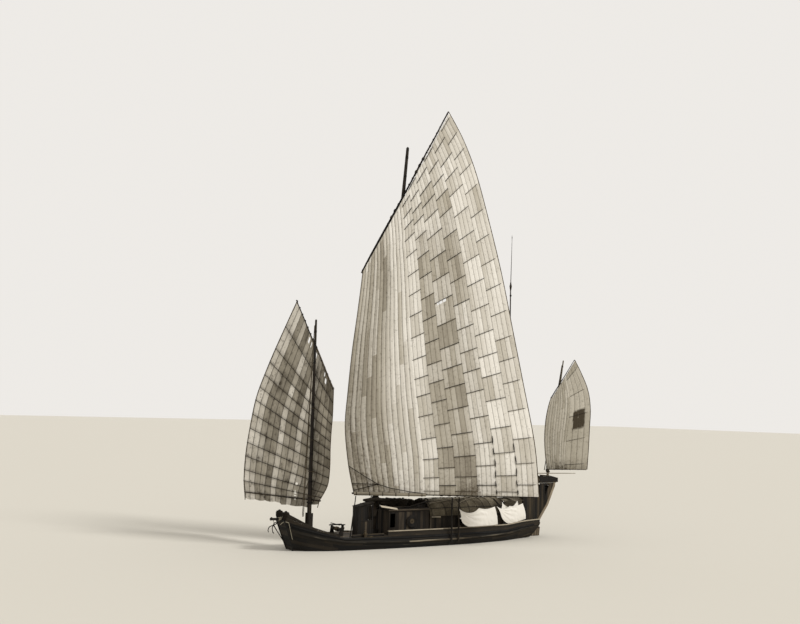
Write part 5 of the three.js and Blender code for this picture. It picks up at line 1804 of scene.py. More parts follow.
@dataclass
class MatHouse:
    """House with low board walls under a barrel roof of lapped mats on hoops."""

    fore: float = 0.64
    aft: float = 7.1
    half: float = 1.3
    wall_top: float = 1.95
    ridge: float = 3.06
    floor: float = 0.8
    eave: float = 0.11
    shell: float = 0.045

    def arch(self, share: float, inward: float = 0.0) -> tuple[float, float]:
        """Y and z on the roof's arch, from the port eave at 0 to the starboard eave at 1."""
        angle = pi * (1 - share)
        return ((self.half + self.eave - inward) * cos(angle),
                self.wall_top + (self.ridge - self.wall_top - inward) * sin(angle))

    def build(self) -> None:
        """Builds walls, mats and hoops."""
        self.build_walls()
        self.build_mats()
        self.build_hoops()

    def build_walls(self) -> None:
        """Side walls with two windows each and arched end walls with a doorway."""
        sketch = Sketch(353)
        inset = 0.025
        windows = ((2.26, 2.76, 1.35, 1.75), (4.36, 4.86, 1.35, 1.75))
        for y in (-self.half + inset, self.half - inset):
            BoardWall((self.fore, y, self.floor), (self.aft, y, self.floor), lambda a: self.wall_top + 0.1,
                      openings=windows).draw(sketch)
        reach = self.half - 0.05

        def top(a: float) -> float:
            """Height of the arch over a place on the end wall."""
            y = min(abs(a - reach) / (self.half + self.eave), 1.0)
            return self.wall_top + (self.ridge - self.wall_top - 0.06) * sqrt(1 - y * y)

        for x in (self.fore + inset, self.aft - inset):
            BoardWall((x, -reach, self.floor), (x, reach, self.floor), top,
                      openings=((reach - 0.35, reach + 0.35, 0.892, 2.22),)).draw(sketch)
        sketch.build("mat_house_boards", HOUSE_WOOD, "mat_house_walls")

    def build_mats(self) -> None:
        """Lapped mats, each a little over its neighbour, with wavy edges."""
        sketch = Sketch(359)
        cuts = (self.fore - 0.03, 1.95, 3.3, 4.7, 5.95, self.aft + 0.15)
        for k, (start, end) in enumerate(zip(cuts, cuts[1:])):
            lift = 0.0 if k % 2 else -0.012
            rings = []
            for x in stations(start - (0.0 if k == 0 else 0.12), end, 0.22):
                ring = []
                wave = 0.008 * wobble(x * 1.7, k, 0.0)
                for j in range(29):
                    y, z = self.arch(j / 28, -lift * 0.5 + 0.004)
                    dent = wobble(x * 0.9, j * 0.35, 3.0 + k) * 0.018
                    ring.append((x + 0.02 * wobble(j * 0.5, k * 3.0, x), y * (1 + wave),
                                        z - abs(dent) - 0.004))
                rings.append([*ring, *((x, *self.arch(j / 28, self.shell)) for j in range(28, -1, -1))])
            sketch.sweep(rings, flip=True)
        sketch.build("roof_mats", MATTING, "mat_roof", sharp=50.0)

    def build_hoops(self) -> None:
        """Split-bamboo hoops over the mats and two long battens that hold them."""
        sketch = Sketch(367)
        for x in (0.72, 1.93, 2.6, 3.28, 4.0, 4.68, 5.3, 5.93, 6.6, 7.16):
            path = [(x + 0.03 * sin(j * 0.6 + x), *self.arch(j / 18, -0.012)) for j in range(19)]
            sketch.tube(path, 0.016, 6, None, 0.7)
        for share in (0.16, 0.5, 0.84):
            y, z = self.arch(share, -0.03)
            path = [(x, y + 0.02 * sin(x * 2.0), z + 0.01 * cos(x * 3.0)) for x in
                    stations(self.fore - 0.02, self.aft + 0.12, 0.4)]
            sketch.tube(path, 0.02, 6)
        for side in (-1, 1):
            y, z = self.arch(0.0, -0.005)
            sketch.tube([(x, side * abs(y), z + 0.01) for x in stations(self.fore - 0.02, self.aft + 0.14,
                0.6)], 0.026, 6)
        sketch.build("roof_hoops", BATTEN_WOOD)


@dataclass
class RoofGear:
    """Coils, hoops, baskets and rolled mats heaped on the house roof."""

    base: float = 2.55

    def build(self) -> None:
        """Builds the ropes, the baskets and the rolls."""
        ropes = Sketch(401)
        for x, y, radius, turns, rope, rise in (
                (-1.95, -0.25, 0.34, 7.5, 0.03, 0.058), (-1.2, -0.4, 0.4, 6.5, 0.028, 0.055),
                (-1.25, 0.25, 0.36, 6, 0.03, 0.06),
                (-0.45, -0.3, 0.3, 7, 0.026, 0.052), (-0.25, 0.3, 0.28, 5, 0.024, 0.048)):
            z = self.base + 0.11 * (1 - abs(y) / 1.39)
            ropes.coil((x, y, z + 0.03), radius, turns, rope, UP + Vector((0.08, -0.12, 0)), rise)
            ropes.coil((x, y, z + 0.06), radius * 0.6, turns * 0.8, rope, UP, rise)
        for x, z, radius, lean in ((-0.55, 2.86, 0.24, 0.5), (-0.15, 2.8, 0.19, -0.3), (-2, 2.88, 0.22, 0.2)):
            ropes.coil((x, -0.5, z), radius, 2.0, 0.02, (lean, 1, 0.25))
        ropes.build("roof_coils", DARK_ROPE, "roof_gear_heap")
        baskets = Sketch(409)
        for x, y, size, tall in ((-1.6, 0.1, 0.26, 0.36), (-0.8, 0, 0.24, 0.4), (0.1, -0.1, 0.2, 0.3)):
            profile = [(0, 0), (size * 0.8, 0), (size, tall * 0.4), (size * 0.95, tall * 0.8),
                       (size * 0.7, tall), (size * 0.64, tall * 0.96), (size * 0.85, tall * 0.5),
                       (0, tall * 0.3)]
            baskets.lathe(profile, (x, y, self.base + 0.1), UP + Vector((0.06, 0.05, 0)), 20)
        for x, y, length, radius in ((-0.9, 0.62, 1.9, 0.12), (-1.3, 0.85, 1.5, 0.1)):
            z = self.base + 0.05 + radius
            for ring in range(3):
                r = radius * (1 - 0.28 * ring)
                baskets.tube([(x - length / 2 - 0.01 * ring, y, z), (x, y + 0.01, z + 0.006),
                              (x + length / 2 + 0.01 * ring, y, z)], r, 14)
        baskets.build("roof_baskets", MATTING)
        poles = Sketch(419)
        for k, (y, z) in enumerate(((-0.95, 2.6), (-0.86, 2.61), (-1.05, 2.6))):
            poles.tube([(-3.3 + 0.2 * k, y, z), (-0.8, y + 0.02, z + 0.02), (0.9 - 0.2 * k, y, z + 0.36)],
                       [0.035, 0.032, 0.025], 8)
        poles.build("roof_poles", SPAR_WOOD)
        self.build_loose()

    def build_loose(self) -> None:
        """Rolled nets and bundles on top of the coils, a pale plank and poles laid over the mat roof."""
        bundles = Sketch(431)
        for x0, x1, y, z, radius in ((-4.3, -2.2, -0.52, 3.1, 0.12), (-2.98, -1.35, -0.42, 2.9, 0.18),
                                     (-1.75, -0.72, -0.5, 3, 0.16), (-0.95, -0.05, -0.35, 2.84, 0.15),
                                     (-0.1, 0.55, -0.5, 3, 0.13), (-2.2, -0.9, 0.2, 2.96, 0.16)):
            path = []
            radii = []
            for k, x in enumerate(stations(x0, x1, 0.16)):
                sway = push(Vector((x * 2.1, y, 5)))
                path.append((x, y + sway.y * 0.07, z + sway.z * 0.09))
                radii.append(radius * (0.55 if x in (x0, x1) else 1.0 + 0.28 * wobble(x * 3.0, 1.0, y)))
            bundles.tube(path, radii, 12)
        bundles.points = [point + push(point / 0.14) * 0.03 for point in bundles.points]
        for x, z, radius in ((-1.9, 3.06, 0.17), (-1.2, 3.1, 0.15), (0.15, 3.02, 0.17), (0.72, 2.98, 0.19)):
            bundles.coil((x, -0.62, z), radius, 2.0, 0.024, (0.3, 1, 0.2))
        bundles.tube([(0.05, -0.5, 2.8), (0.55, -0.5, 2.84), (0.95, -0.5, 2.86)], [0.09, 0.11, 0.06], 10)
        bundles.build("roof_bundles", DARK_ROPE)
        hung = Sketch(433)
        for k in range(4):
            hung.coil((-3.05 + 0.03 * k, -0.24 - 0.035 * k, 2.92), 0.27, 1.0, 0.026, (0.75, -0.66, 0), 0.01)
        hung.tube([(-3.12, -0.16, 3.2), (-3.22, -0.1, 3.26), (-3, -0.05, 3.25)], 0.02, 6)
        for k in range(11):
            size = 1 - 0.08 * k
            loop = [(-3.78 + 0.17 * size * a, -0.47 + 0.1 * size * a + 0.01 * k, 2.36 + 0.6 * size * b)
                    for a, b in circle(24)]
            hung.tube(loop, 0.032, 6, wrap=True)
        hung.tube([(-3.72, -0.47, 2.78), (-3.66, -0.48, 2.94), (-3.6, -0.48, 3.12)], [0.1, 0.09, 0.06], 8)
        hung.build("mast_coils", DARK_ROPE)
        pale = Sketch(439)
        pale.board((0.74, -1.365, 1.92), (1.49, -1.365, 1.89), UP, 0.07, 0.02, 1.0)
        pale.board((-3.3, -1.16, 2.745), (-2.05, -1.3, 2.535), (0, 1, 0.45), 0.24, 0.024, 1.0)
        pale.build("roof_pale_plank", TRIM_WOOD)
        laid = Sketch(443)
        shape = MatHouse()
        for start, end, x0, x1, radius in ((-1, -0.42, 0.75, 4.3, 0.034), (-0.7, -0.25, 1.3, 5.1, 0.03),
                                           (-1.08, -0.35, 3.1, 5.25, 0.028)):
            path = []
            for k in range(9):
                y = lerp(start, end, k / 8)
                share = 1 - acos(y / (shape.half + shape.eave)) / pi
                path.append((lerp(x0, x1, k / 8), y, shape.arch(share)[1] + radius + 0.03))
            laid.tube(path, radius, 8, 0.2)
        laid.build("mat_roof_poles", POLE_WOOD, slot="trim_wood")
        self.build_screens()

    def build_screens(self) -> None:
        """Mats over the passage abaft the mat house and beside the mast, a round mat and loose poles."""
        mats = Sketch(449)
        for k, (x0, x1, z0, z1, lift) in enumerate(((7.22, 8.35, 2.98, 2.9, 0), (8.15, 9.12, 2.93, 3, 0.02))):
            rings = []
            for x in stations(x0, x1, 0.16):
                sag = -0.1 * sin(pi * (x - x0) / (x1 - x0))
                ring = []
                for j in range(13):
                    y = lerp(-1.12, 1.12, j / 12)
                    z = lerp(z0, z1, (x - x0) / (x1 - x0)) + lift + sag - 0.16 * (y / 1.12) ** 2
                    ring.append((x, y, z + 0.03 * wobble(x * 2.0, y * 2.0, k)))
                rings.append([*ring, *(Vector(point) - UP * 0.02 for point in reversed(ring))])
            mats.sweep(rings, tone=0.8, flip=True)
        for x0, x1, y in ((7.32, 8.2, -1.06), (8.05, 9, -1.02)):
            rings = []
            for x in stations(x0, x1, 0.11):
                z = 2.8 + 0.05 * sin(x * 5.0)
                foot = 2.4 + 0.1 * wobble(x * 3.0, 1.0, 4.0)
                rings.append([(x, y, z), (x, y - 0.03, z - 0.01), (x, y - 0.06, foot),
                              (x, y - 0.03, foot)])
            mats.sweep(rings, tone=0.2)
        mats.build("loose_mats", MATTING)
        hat = Sketch(463)
        for turn in range(9):
            radius = 0.4 - 0.042 * turn
            ring = [(-0.9 + radius * a, -1.372 - 0.004 * turn, 1.68 + radius * b) for a, b in circle(28)]
            hat.tube(ring, 0.022, 6, -0.6 if turn < 6 else 1.2, wrap=True)
        hat.build("wall_basket", SPAR_WOOD, slot="mat")
        poles = Sketch(457)
        for start, end, radius in (((6.14, -1.32, 3.02), (6.87, -1.34, 2.39), 0.045),
                                   ((6.87, -1.34, 2.95), (7.24, -1.36, 2.35), 0.04),
                                   ((-6.35, 0.3, 1.47), (-5.22, 0.26, 1.43), 0.04),
                                   ((-6.6, -0.25, 1.66), (-5.75, 0.1, 1.43), 0.03),
                                   ((-6.3, 0.55, 1.42), (-5.3, 0.62, 1.44), 0.035),
                                   ((7.3, -1.08, 2.3), (7.3, -1.08, 2.86), 0.03),
                                   ((9, -1, 2.3), (9.02, -1, 2.94), 0.03)):
            middle = Vector(start).lerp(Vector(end), 0.5) + UP * 0.01
            poles.tube([start, middle, end], [radius, radius, radius * 0.8], 8, -0.9)
        poles.build("loose_poles", SPAR_WOOD)


@dataclass
class Bow:
    """Cathead, anchor, corner posts, windlass and bitts at the fore end."""

    def build(self) -> None:
        """Builds the bow's pieces."""
        self.build_cathead()
        self.build_corners()
        self.build_anchor()
        self.build_windlass()
        self.build_bitts()

    def build_cathead(self) -> None:
        """Cathead beam on its cross piece, with a sheave and lashings."""
        sketch = Sketch(503)
        z = LINES.deck(-10.15) + 0.076
        sketch.board((-9.76, 0, z), (-10.89, 0, z), STARBOARD, 0.148, 0.148, None, 0.014)
        for y in (-0.32, 0.32):
            sketch.board((-9.83, y - 0.24, z), (-9.83, y + 0.24, z), AFT, 0.146, 0.146, None, 0.012)
        sketch.lathe(((0, -0.03), (0.06, -0.03), (0.045, 0), (0.06, 0.03), (0, 0.03)),
                     (-10.8, 0, z + 0.075), STARBOARD, 16, -0.6)
        sketch.build("cathead_timber", SPAR_WOOD, "bow_beam")
        ropes = Sketch(509)
        section = ((-1, -1), (-1, 1), (0, 1.05), (1, 1), (1, -1), (0, -1.05))
        for k in range(5):
            ropes.tube([(-10.3 + 0.04 * k, 0.094 * a, z + 0.094 * b) for a, b in section], 0.018, 6,
                       wrap=True)
        for y in (-0.3, 0.3):
            for k in range(4):
                at = y + 0.038 * (k - 1.5)
                ropes.tube([(-9.83 + 0.092 * a, at, z + 0.092 * b) for a, b in section], 0.017, 6, wrap=True)
        ropes.build("cathead_lashings", PALE_ROPE)

    def build_corners(self) -> None:
        """Corner posts of the bow, the rail across it and the pale line made fast at its port corner."""
        sketch = Sketch(521)
        for side in (-1, 1):
            path = [LINES.point(0.0, u, side) + Vector((-0.03, side * 0.012, 0)) for u in (0.0, 0.7, 1.4, 2.1,
                2.8)]
            sketch.strip(path, STARBOARD, 0.075, 0.06, -0.6, 0.015)
        z = LINES.deck(-10.15)
        sketch.board((-10.17, -0.66, z - 0.03), (-10.17, 0.66, z - 0.03), UP, 0.12, 0.05, -0.6, 0.012)
        sketch.build("bow_corner_posts", HULL_WOOD, slot="trim_wood")
        for word, side in SIDES:
            self.build_horn(word, side)
        rope = Sketch(523)
        along = [LINES.point(LINES.row(x), 0.05, -1, 0.035) for x in stations(-10.15, -9.95, 0.2)]
        down = [LINES.point(0.24 - 0.05 * u, u, -1, 0.03) for u in (0.05, 0.4, 0.8, 1.2, 1.5)]
        rope.tube([(-10.42, -0.55, 1.72), (-10.24, -0.6, 1.88), *along, *down], 0.016, 7)
        rope.build("bow_rope", PALE_ROPE)

    def build_horn(self, word: str, side: int) -> None:
        """Rounded post head at a corner of the bow, cracked with age, with turns of rope."""
        sketch = Sketch(531 + side)
        middle = Vector((-10.0225, side * 0.4975, 0))
        floor = LINES.deck(-10.13) + 0.003
        rows = ((0.99, floor), (0.99, 2.38), (0.96, 2.45), (0.86, 2.51), (0.66, 2.555), (0.38, 2.575),
                (0.05, 2.578))
        rings = []
        for share, z in rows:
            ring = []
            for k in range(20):
                angle = 2 * pi * k / 20
                x = copysign(abs(cos(angle)) ** 0.55, cos(angle)) * 0.1075
                y = copysign(abs(sin(angle)) ** 0.55, sin(angle)) * 0.1025
                worn = 1 - 0.05 * abs(wobble(angle, z * 2.0, side * 3.0))
                ring.append(middle + Vector((x * share * worn, y * share * worn, z)))
            rings.append(ring)
        sketch.sweep(rings, tone=-0.5)
        sketch.build(f"bow_horn_{word}", HULL_WOOD, f"bow_post_{word}")
        turns = Sketch(537 + side)
        for k, (z, radius) in enumerate(((2.1, 0.17), (2.19, 0.19), (2.28, 0.2), (2.37, 0.2), (2.45, 0.17))):
            ring = [middle + Vector((radius * cos(a), radius * 0.9 * sin(a), z + 0.01 * sin(a + k)))
                    for a in (pi * j / 9 for j in range(18))]
            turns.tube(ring, 0.052, 8, wrap=True)
        turns.build(f"bow_horn_turns_{word}", DARK_ROPE)

    def build_anchor(self) -> None:
        """Four-fluke grapnel with its ring and the chain that holds it."""
        sketch = Sketch(541)
        crown, foot = Vector((-10.64, 0, 1.64)), Vector((-9.93, 0, 0.64))
        down = (foot - crown).normalized()
        out = STARBOARD.cross(down).normalized()
        sketch.tube([crown - down * 0.05, crown.lerp(foot, 0.3), crown.lerp(foot, 0.7), foot],
                    [0.037, 0.034, 0.03, 0.028], 12, 0.0)
        for k in range(4):
            angle = (k + 0.5) * pi / 2
            radial = STARBOARD * cos(angle) + out * sin(angle)
            arm = ((0, 0), (0.17, -0.012), (0.33, 0), (0.45, 0.09), (0.54, 0.2), (0.595, 0.325))
            sketch.tube([crown + radial * a + down * b for a, b in arm],
                        [0.034, 0.032, 0.031, 0.028, 0.022, 0.007], 10, 0.0)
            tip = crown + radial * 0.545 + down * 0.215
            side = radial.cross(down)
            sketch.board(tip - down * 0.06, tip + down * 0.07, side, 0.075, 0.014, 0.0, 0.005)
        ring = [foot + down * 0.05 + (STARBOARD * a + down * b) * 0.06 for a, b in circle(14)]
        sketch.tube(ring, 0.012, 8, wrap=True)
        sketch.tube([crown, (crown.x, 0, LINES.deck(-10.15) + 0.002)], 0.015, 8)
        sketch.build("grapnel_anchor", IRON, "anchor")

    def build_windlass(self) -> None:
        """Windlass with shaped cheeks, a barrel with whelps and turns of cable."""
        sketch = Sketch(547)
        x, z, half = -6.02, 1.23, 0.62
        for side in (-1, 1):
            y = side * (half + 0.04)
            rows = ((0.15, 0.802), (0.145, 0.9), (0.12, 1.1), (0.1, 1.25), (0.088, 1.35), (0.06, 1.37))
            corners = ((-1, -0.04), (-1, 0.04), (1, 0.04), (1, -0.04))
            sketch.sweep([[(x + wide * a, y + b, height) for a, b in corners] for wide, height in rows])
        sketch.board((x, -half, 0.85), (x, half, 0.85), AFT, 0.12, 0.096, None, 0.01)
        sketch.build("windlass_frame", SPAR_WOOD, "windlass_cheeks")
        barrel = Sketch(557)
        for ends in ((-half - 0.15, -half + 0.006), (half - 0.006, half + 0.15)):
            barrel.tube([(x, y, z) for y in ends], 0.042, 16, -0.3)
        barrel.tube([(x, y, z) for y in (-half + 0.006, 0.0, half - 0.006)], [0.098, 0.092, 0.098], 16, 0.0)
        for a, b in circle(8):
            way = Vector((a, 0, b))
            ends = [Vector((x, y, z)) + way * 0.099 for y in (-half + 0.02, half - 0.02)]
            barrel.board(*ends, way.cross(STARBOARD), 0.045, 0.028)
        barrel.build("windlass_barrel", SPAR_WOOD, "windlass_drum", "windlass")
        cable = Sketch(563)
        cable.coil((x, -0.22, z), 0.136, 7.5, 0.02, STARBOARD, 0.043)
        cable.build("windlass_cable", HEMP, body="windlass")

    def build_bitts(self) -> None:
        """Mooring bitts with worn heads and turns of rope."""
        for word, side in SIDES:
            sketch = Sketch(571 + side)
            at = Vector((-4.7, side * 1.6, 0))
            rows = ((0.078, 0.802), (0.078, 1.1), (0.062, 1.13), (0.062, 1.16), (0.078, 1.19), (0.07, 1.24),
                    (0.04, 1.25))
            corners = ((-1, -1), (1, -1), (1, 1), (-1, 1))
            sketch.sweep([[at + Vector((a * r, b * r, z)) for a, b in corners] for r, z in rows])
            sketch.build(f"bitt_post_{word}", SPAR_WOOD, f"mooring_bitt_{word}")
            rope = Sketch(577 + side)
            rope.coil(at + UP * 0.93, 0.125, 4.0, 0.018, UP, 0.036)
            rope.coil(at + Vector((0.35, side * -0.05, 0.825)), 0.26, 4.0, 0.02, UP)
            rope.build(f"bitt_rope_{word}", HEMP)


@dataclass
class Waist:
    """Side posts, spare poles and hung cloths along the port side."""

    def build(self) -> None:
        """Builds the waist's pieces."""
        self.build_posts()
        self.build_poles()
        self.build_cloth("fore", ((2.48, 2.64), (5.9, 2.52), (6.22, 1.235), (3.62, 1.135)), 0.66, 0.56)
        self.build_cloth("aft", ((6.02, 2.6), (8.76, 2.64), (9.12, 1.5), (7.24, 1.24)), 0.44, 0.48)
        self.build_cloth("rear", ((6.68, 2.84), (8.3, 2.84), (8.4, 1.8), (6.8, 1.8)), 0.34, 1.0, 0.12)
        self.build_lines()

    def build_posts(self) -> None:
        """Two dark posts outside the port rail with lashings and a cross peg."""
        for word, x in (("fore", 1.88), ("aft", 2.48)):
            sketch = Sketch(601 + int(x * 10))
            t = LINES.row(x)
            y = -LINES.value(t, 3) - 0.06 - 0.062 + 0.005
            heights = stations(0.25, 3.25, 0.3)
            sketch.tube([(x + 0.01 * sin(z * 2.2), y + 0.006 * cos(z * 2.9), z) for z in heights],
                        [lerp(0.061, 0.049, (z - 0.25) / 3.0) for z in heights], 12, -0.4)
            sketch.tube([(x - 0.14, y, 3.02), (x + 0.14, y, 3.04)], 0.02, 8)
            for z in (1.08, 1.13, 1.18, 2.5, 2.55):
                sketch.tube([(x, y, z - 0.018), (x, y, z), (x, y, z + 0.018)],
                            [0.056, 0.074, 0.056], 12, -1.0)
            sketch.build(f"side_post_pole_{word}", SPAR_WOOD, f"side_post_{word}")

    def build_poles(self) -> None:
        """Bundle of spare poles on the port side deck."""
        sketch = Sketch(613)
        for k, (y, lift) in enumerate(((-1.368, 0), (-1.458, 0), (-1.413, 0.078))):
            z = 0.8523 + lift
            path = [Vector((x, y + 0.006 * sin(x * 1.7 + k), z + 0.003 * cos(x * 2.1 + k))) for x in
                    stations(-5.6, -3.15, 0.3)]
            radii = [lerp(0.051, 0.044, (p.x + 5.6) / 2.45) + (0.004 if j % 3 == k else 0.0)
                     for j, p in enumerate(path)]
            sketch.tube(path, radii, 10)
        sketch.build("spare_pole_bundle", SPAR_WOOD, "spare_poles", slot="trim_wood")

    def build_cloth(self, word: str, corners: Pairs, sag: float, prop: float,
                    inboard: float = 0.0) -> None:
        """White cloth hung by its corners and over one prop.

        Args:
            word: Word for its place.
            corners: X and z of its corners: fore top, aft top, aft foot, fore foot.
            sag: How far its top edge hangs below the straight line, in metres.
            prop: Share of its width where the prop holds it up.
            inboard: How far inside the rail it hangs; a cloth of the frame hangs at the rail.
        """
        top_fore, top_aft, foot_aft, foot_fore = corners
        columns, rows = 56, 28
        points, cloth = [], []
        for j in range(rows + 1):
            f = j / rows
            for k in range(columns + 1):
                s = k / columns
                span = (0.0, prop) if s <= prop else (prop, 1.0)
                local = (s - span[0]) / (span[1] - span[0])
                slack = sag if s <= prop else sag * 0.35
                drop = slack * (span[1] - span[0]) * (4 * local * (1 - local)) ** 0.85 + 0.1 * sin(pi * s)
                high = lerp(top_fore[1], top_aft[1], s) - drop
                pull = 0.6 * sag * sin(pi * f ** 2.2) * (1 - s) ** 2 - 0.03 * sin(pi * f) * s
                x = lerp(lerp(top_fore[0], top_aft[0], s), lerp(foot_fore[0], foot_aft[0], s), f) - pull
                z = lerp(high, lerp(foot_fore[1], foot_aft[1], s) - 0.04 * sin(pi * s), f)
                rail = -LINES.half(x) + 0.02 + inboard
                angle = atan2(f + 0.03, s + 0.03)
                fans = 0.03 * sin(17 * angle + 1.0) * max(0.0, 1 - hypot(s, f) * 1.1) ** 0.7
                fans += 0.022 * sin(13 * atan2(f + 0.03, 1.03 - s)) * max(0.0, 1 - hypot(1 - s, f) * 1.5)
                soft = 0.05 * wobble(s * 3.2, f * 2.0, len(word)) + 0.02 * wobble(s * 9.0, f * 4.0, 3.0)
                fans *= sqrt(sin(pi * min(0.999, s + 0.001)))
                points.append((x, rail - 0.06 * sin(pi * f) - abs(soft) - fans, z))
                cloth.append((s * 3.0, (1 - f) * 1.35, 0))
        width = columns + 1
        faces = [(a, a + 1, a + 1 + width, a + width) for j in range(rows) for a in
                 (j * width + k for k in range(columns))]
        node = "" if inboard else f"hung_cloth_{word}"
        made = dress(f"white_cloth_{word}", COTTON, points, faces, node, sharp=80.0, cloth=cloth)

    def build_lines(self) -> None:
        """Lines that hold up the corners of the cloth behind the after one."""
        sketch = Sketch(619)
        for corner, hold in ((Vector((6.68, -1.6, 2.84)), Vector((6.86, -1.34, 2.92))),
                             (Vector((8.3, -1.55, 2.84)), Vector((9.01, -1, 2.9)))):
            sketch.tube([corner - UP * 0.03, corner.lerp(hold, 0.5) - UP * 0.02, hold], 0.012, 6)
            sketch.coil(hold - UP * 0.03, 0.05, 2.0, 0.012, UP, 0.02)
        sketch.build("cloth_lines", HEMP)


@dataclass
class Stern:
    """Quarter boards round the steering place, its roof, the counter, the gallery and the rudder."""

    floor: float = 4.1503
    rake: Pairs = ((10.72, 1.37), (10.91, 1.64), (11.49, 2.42), (12.15, 3.81), (12.2, 4.05))

    def build(self) -> None:
        """Builds the stern's pieces."""
        for word, side in SIDES:
            self.build_wing(word, side)
        self.build_counter()
        self.build_roof()
        self.build_gallery()
        self.build_gallery_gear()
        self.build_rudder()

    def build_wing(self, word: str, side: int) -> None:
        """Quarter boards of one side, with the pale raking plank along their after edge."""
        sketch = Sketch(701 + side)
        y = side * 1.06
        fore = [(9.05, LINES.deck(9.05) + 0.003), (10.56, LINES.deck(10.56) + 0.003), *self.rake[:1],
                (10.85, 1.56), (10.85, 4.05), (10.69, 4.05), (10.69, 3.15), (9.05, 3.13)]
        PlankPanel(fore, y, 0.07, 0.21).draw(sketch)
        after = [(10.85, 1.6), *self.rake[1:], (10.85, 4.05)]
        hole = [(11.19, 3.96), (11.19, 3.08), (11.64, 3.96)]
        PlankPanel(after, y, 0.07, 0.19, (hole,)).draw(sketch)
        for x0, z0, x1, z1, wide in ((9.07, 3.09, 10.69, 3.11, 0.07), (10.73, 3.1, 10.73, 4.02, 0.1),
                                     (11.13, 2.5, 11.13, 4.02, 0.08), (9.1, 1.1, 9.1, 3.06, 0.08)):
            way = UP if abs(z1 - z0) < 0.1 else AFT
            sketch.board((x0, side * 1.097, z0), (x1, side * 1.097, z1), way, wide, 0.02, -0.9)
        sketch.board((10.76, side * 1.075, 3.955), (11.98, side * 1.075, 3.955), UP, 0.17, 0.02, -0.9)
        sketch.build(f"quarter_boards_{word}", QUARTER_WOOD, f"stern_wing_{word}")
        rake = Sketch(711 + side)
        path = [(x - 0.09, side * 1.104, z + 0.03) for x, z in self.rake]
        rake.strip(path, AFT, 0.19, 0.034, 0.5, 0.008)
        rake.build(f"quarter_rake_{word}", STERN_WOOD)

    def build_counter(self) -> None:
        """Boards of the counter between the quarter boards."""
        sketch = Sketch(709)
        low, high = Vector((11.505, 0, 2.705)), Vector((12.025, 0, 3.8))
        count = 7
        for k in range(count):
            a, b = low.lerp(high, (k + 0.03) / count), low.lerp(high, (k + 0.97) / count)
            middle = (a + b) / 2
            sketch.board(middle - STARBOARD * 1.017, middle + STARBOARD * 1.017, b - a, (b - a).length, 0.045)
        sketch.build("counter_boards", HULL_WOOD, "stern_counter")

    def build_roof(self) -> None:
        """Roof boards over the tiller, on two beams."""
        sketch = Sketch(715)
        for x in stations(9.3, 10.58, 0.21):
            sketch.board((x, -1.018, 3.096), (x, 1.018, 3.096), AFT, 0.2, 0.036)
        for y in (-0.7, 0.0, 0.7):
            sketch.board((9.21, y, 3.069), (10.67, y, 3.069), STARBOARD, 0.07, 0.018, -0.7)
        sketch.build("steering_roof_boards", HOUSE_WOOD, "steering_roof")

    def build_gallery(self) -> None:
        """Gallery floor with its board sides, their cap planks and the corner posts."""
        sketch = Sketch(719)
        x0, x1, half = 10.65, 12.42, 1.15
        z, top = 4.0506, 4.7
        for y in (-0.9, 0.0, 0.9):
            sketch.board((x0, y, z + 0.03), (x1, y, z + 0.03), STARBOARD, 0.09, 0.058, -0.6)
        count = 10
        for k in range(count):
            x = lerp(x0, x1, (k + 0.5) / count)
            sketch.board((x, -half, z + 0.08), (x, half, z + 0.08), AFT, (x1 - x0) / count - 0.008, 0.038)
        ridge = 11.54
        for side in (-1, 1):
            y = side * 1.12
            outline = [(x0, z + 0.1), (x1, z + 0.1), (x1, top - 0.275), (ridge, top - 0.075),
                       (x0, top - 0.005)]
            PlankPanel(outline, y, 0.036, 0.13, level=True).draw(sketch)
            for x, high in ((x0 + 0.04, top - 0.01), (ridge, top - 0.08), (x1 - 0.04, top - 0.29)):
                sketch.board((x, y, z + 0.1), (x, y, high), AFT, 0.07, 0.05, -0.9)
            low, high = sorted((side * 0.2, side * 1.09))
            for level, wide in ((z + 0.21, 0.21), (top - 0.35, 0.15)):
                sketch.board((x1 - 0.065, low, level), (x1 - 0.065, high, level), UP, wide, 0.04)
        sketch.build("gallery_boards", QUARTER_WOOD, "stern_gallery", slot="house_wood")
        caps = Sketch(721)
        for side in (-1, 1):
            y = side * 1.12
            crest, foot = (ridge, y, top - 0.082), (x1, y, top - 0.282)
            caps.board((x0 - 0.01, y, top - 0.012), crest, STARBOARD, 0.085, 0.024, 0.2)
            caps.board(crest, foot, STARBOARD, 0.085, 0.024, -0.8)
        caps.build("gallery_caps", STERN_WOOD, slot="house_wood")

    def build_gallery_gear(self) -> None:
        """Coils, rolled mats and poles stowed on the gallery."""
        ropes = Sketch(727)
        for x, y, radius in ((11, -0.75, 0.22), (11.05, 0.2, 0.24), (12.1, 0.7, 0.2)):
            ropes.coil((x, y, self.floor + 0.03), radius, 5.5, 0.022, UP, 0.044)
            ropes.coil((x, y, self.floor + 0.05), radius * 0.6, 4.5, 0.022, UP, 0.044)
        ropes.build("gallery_coils", HEMP)
        mats = Sketch(733)
        for y, z, radius in ((-0.92, 0.12, 0.11), (-0.72, 0.1, 0.09), (0.86, 0.12, 0.11)):
            z += self.floor
            mats.tube([(10.75, y, z), (11.5, y + 0.01, z + 0.01), (12.25, y, z)], [radius, radius * 1.04,
                radius], 14)
        mats.build("gallery_mats", MATTING)
        pole = Sketch(735)
        along = stations(11.2, 15.0, 0.4)
        pole.tube([(x, -0.25 + 0.01 * sin(x), 4.72 - 0.013 * (x - 12.0)) for x in along],
                  [0.036 - 0.0012 * k for k in range(len(along))], 8, 0.5)
        pole.build("gallery_pole", TRIM_WOOD)

    def build_rudder(self) -> None:
        """Rudder of boards with iron straps, its bearing beam and the tiller."""
        place = leaning(10.85, 0.0, 6.0)

        def at(x: float, y: float, z: float) -> Vector:
            """Point from the rudder's own frame."""
            return place @ Vector((x, y, z))

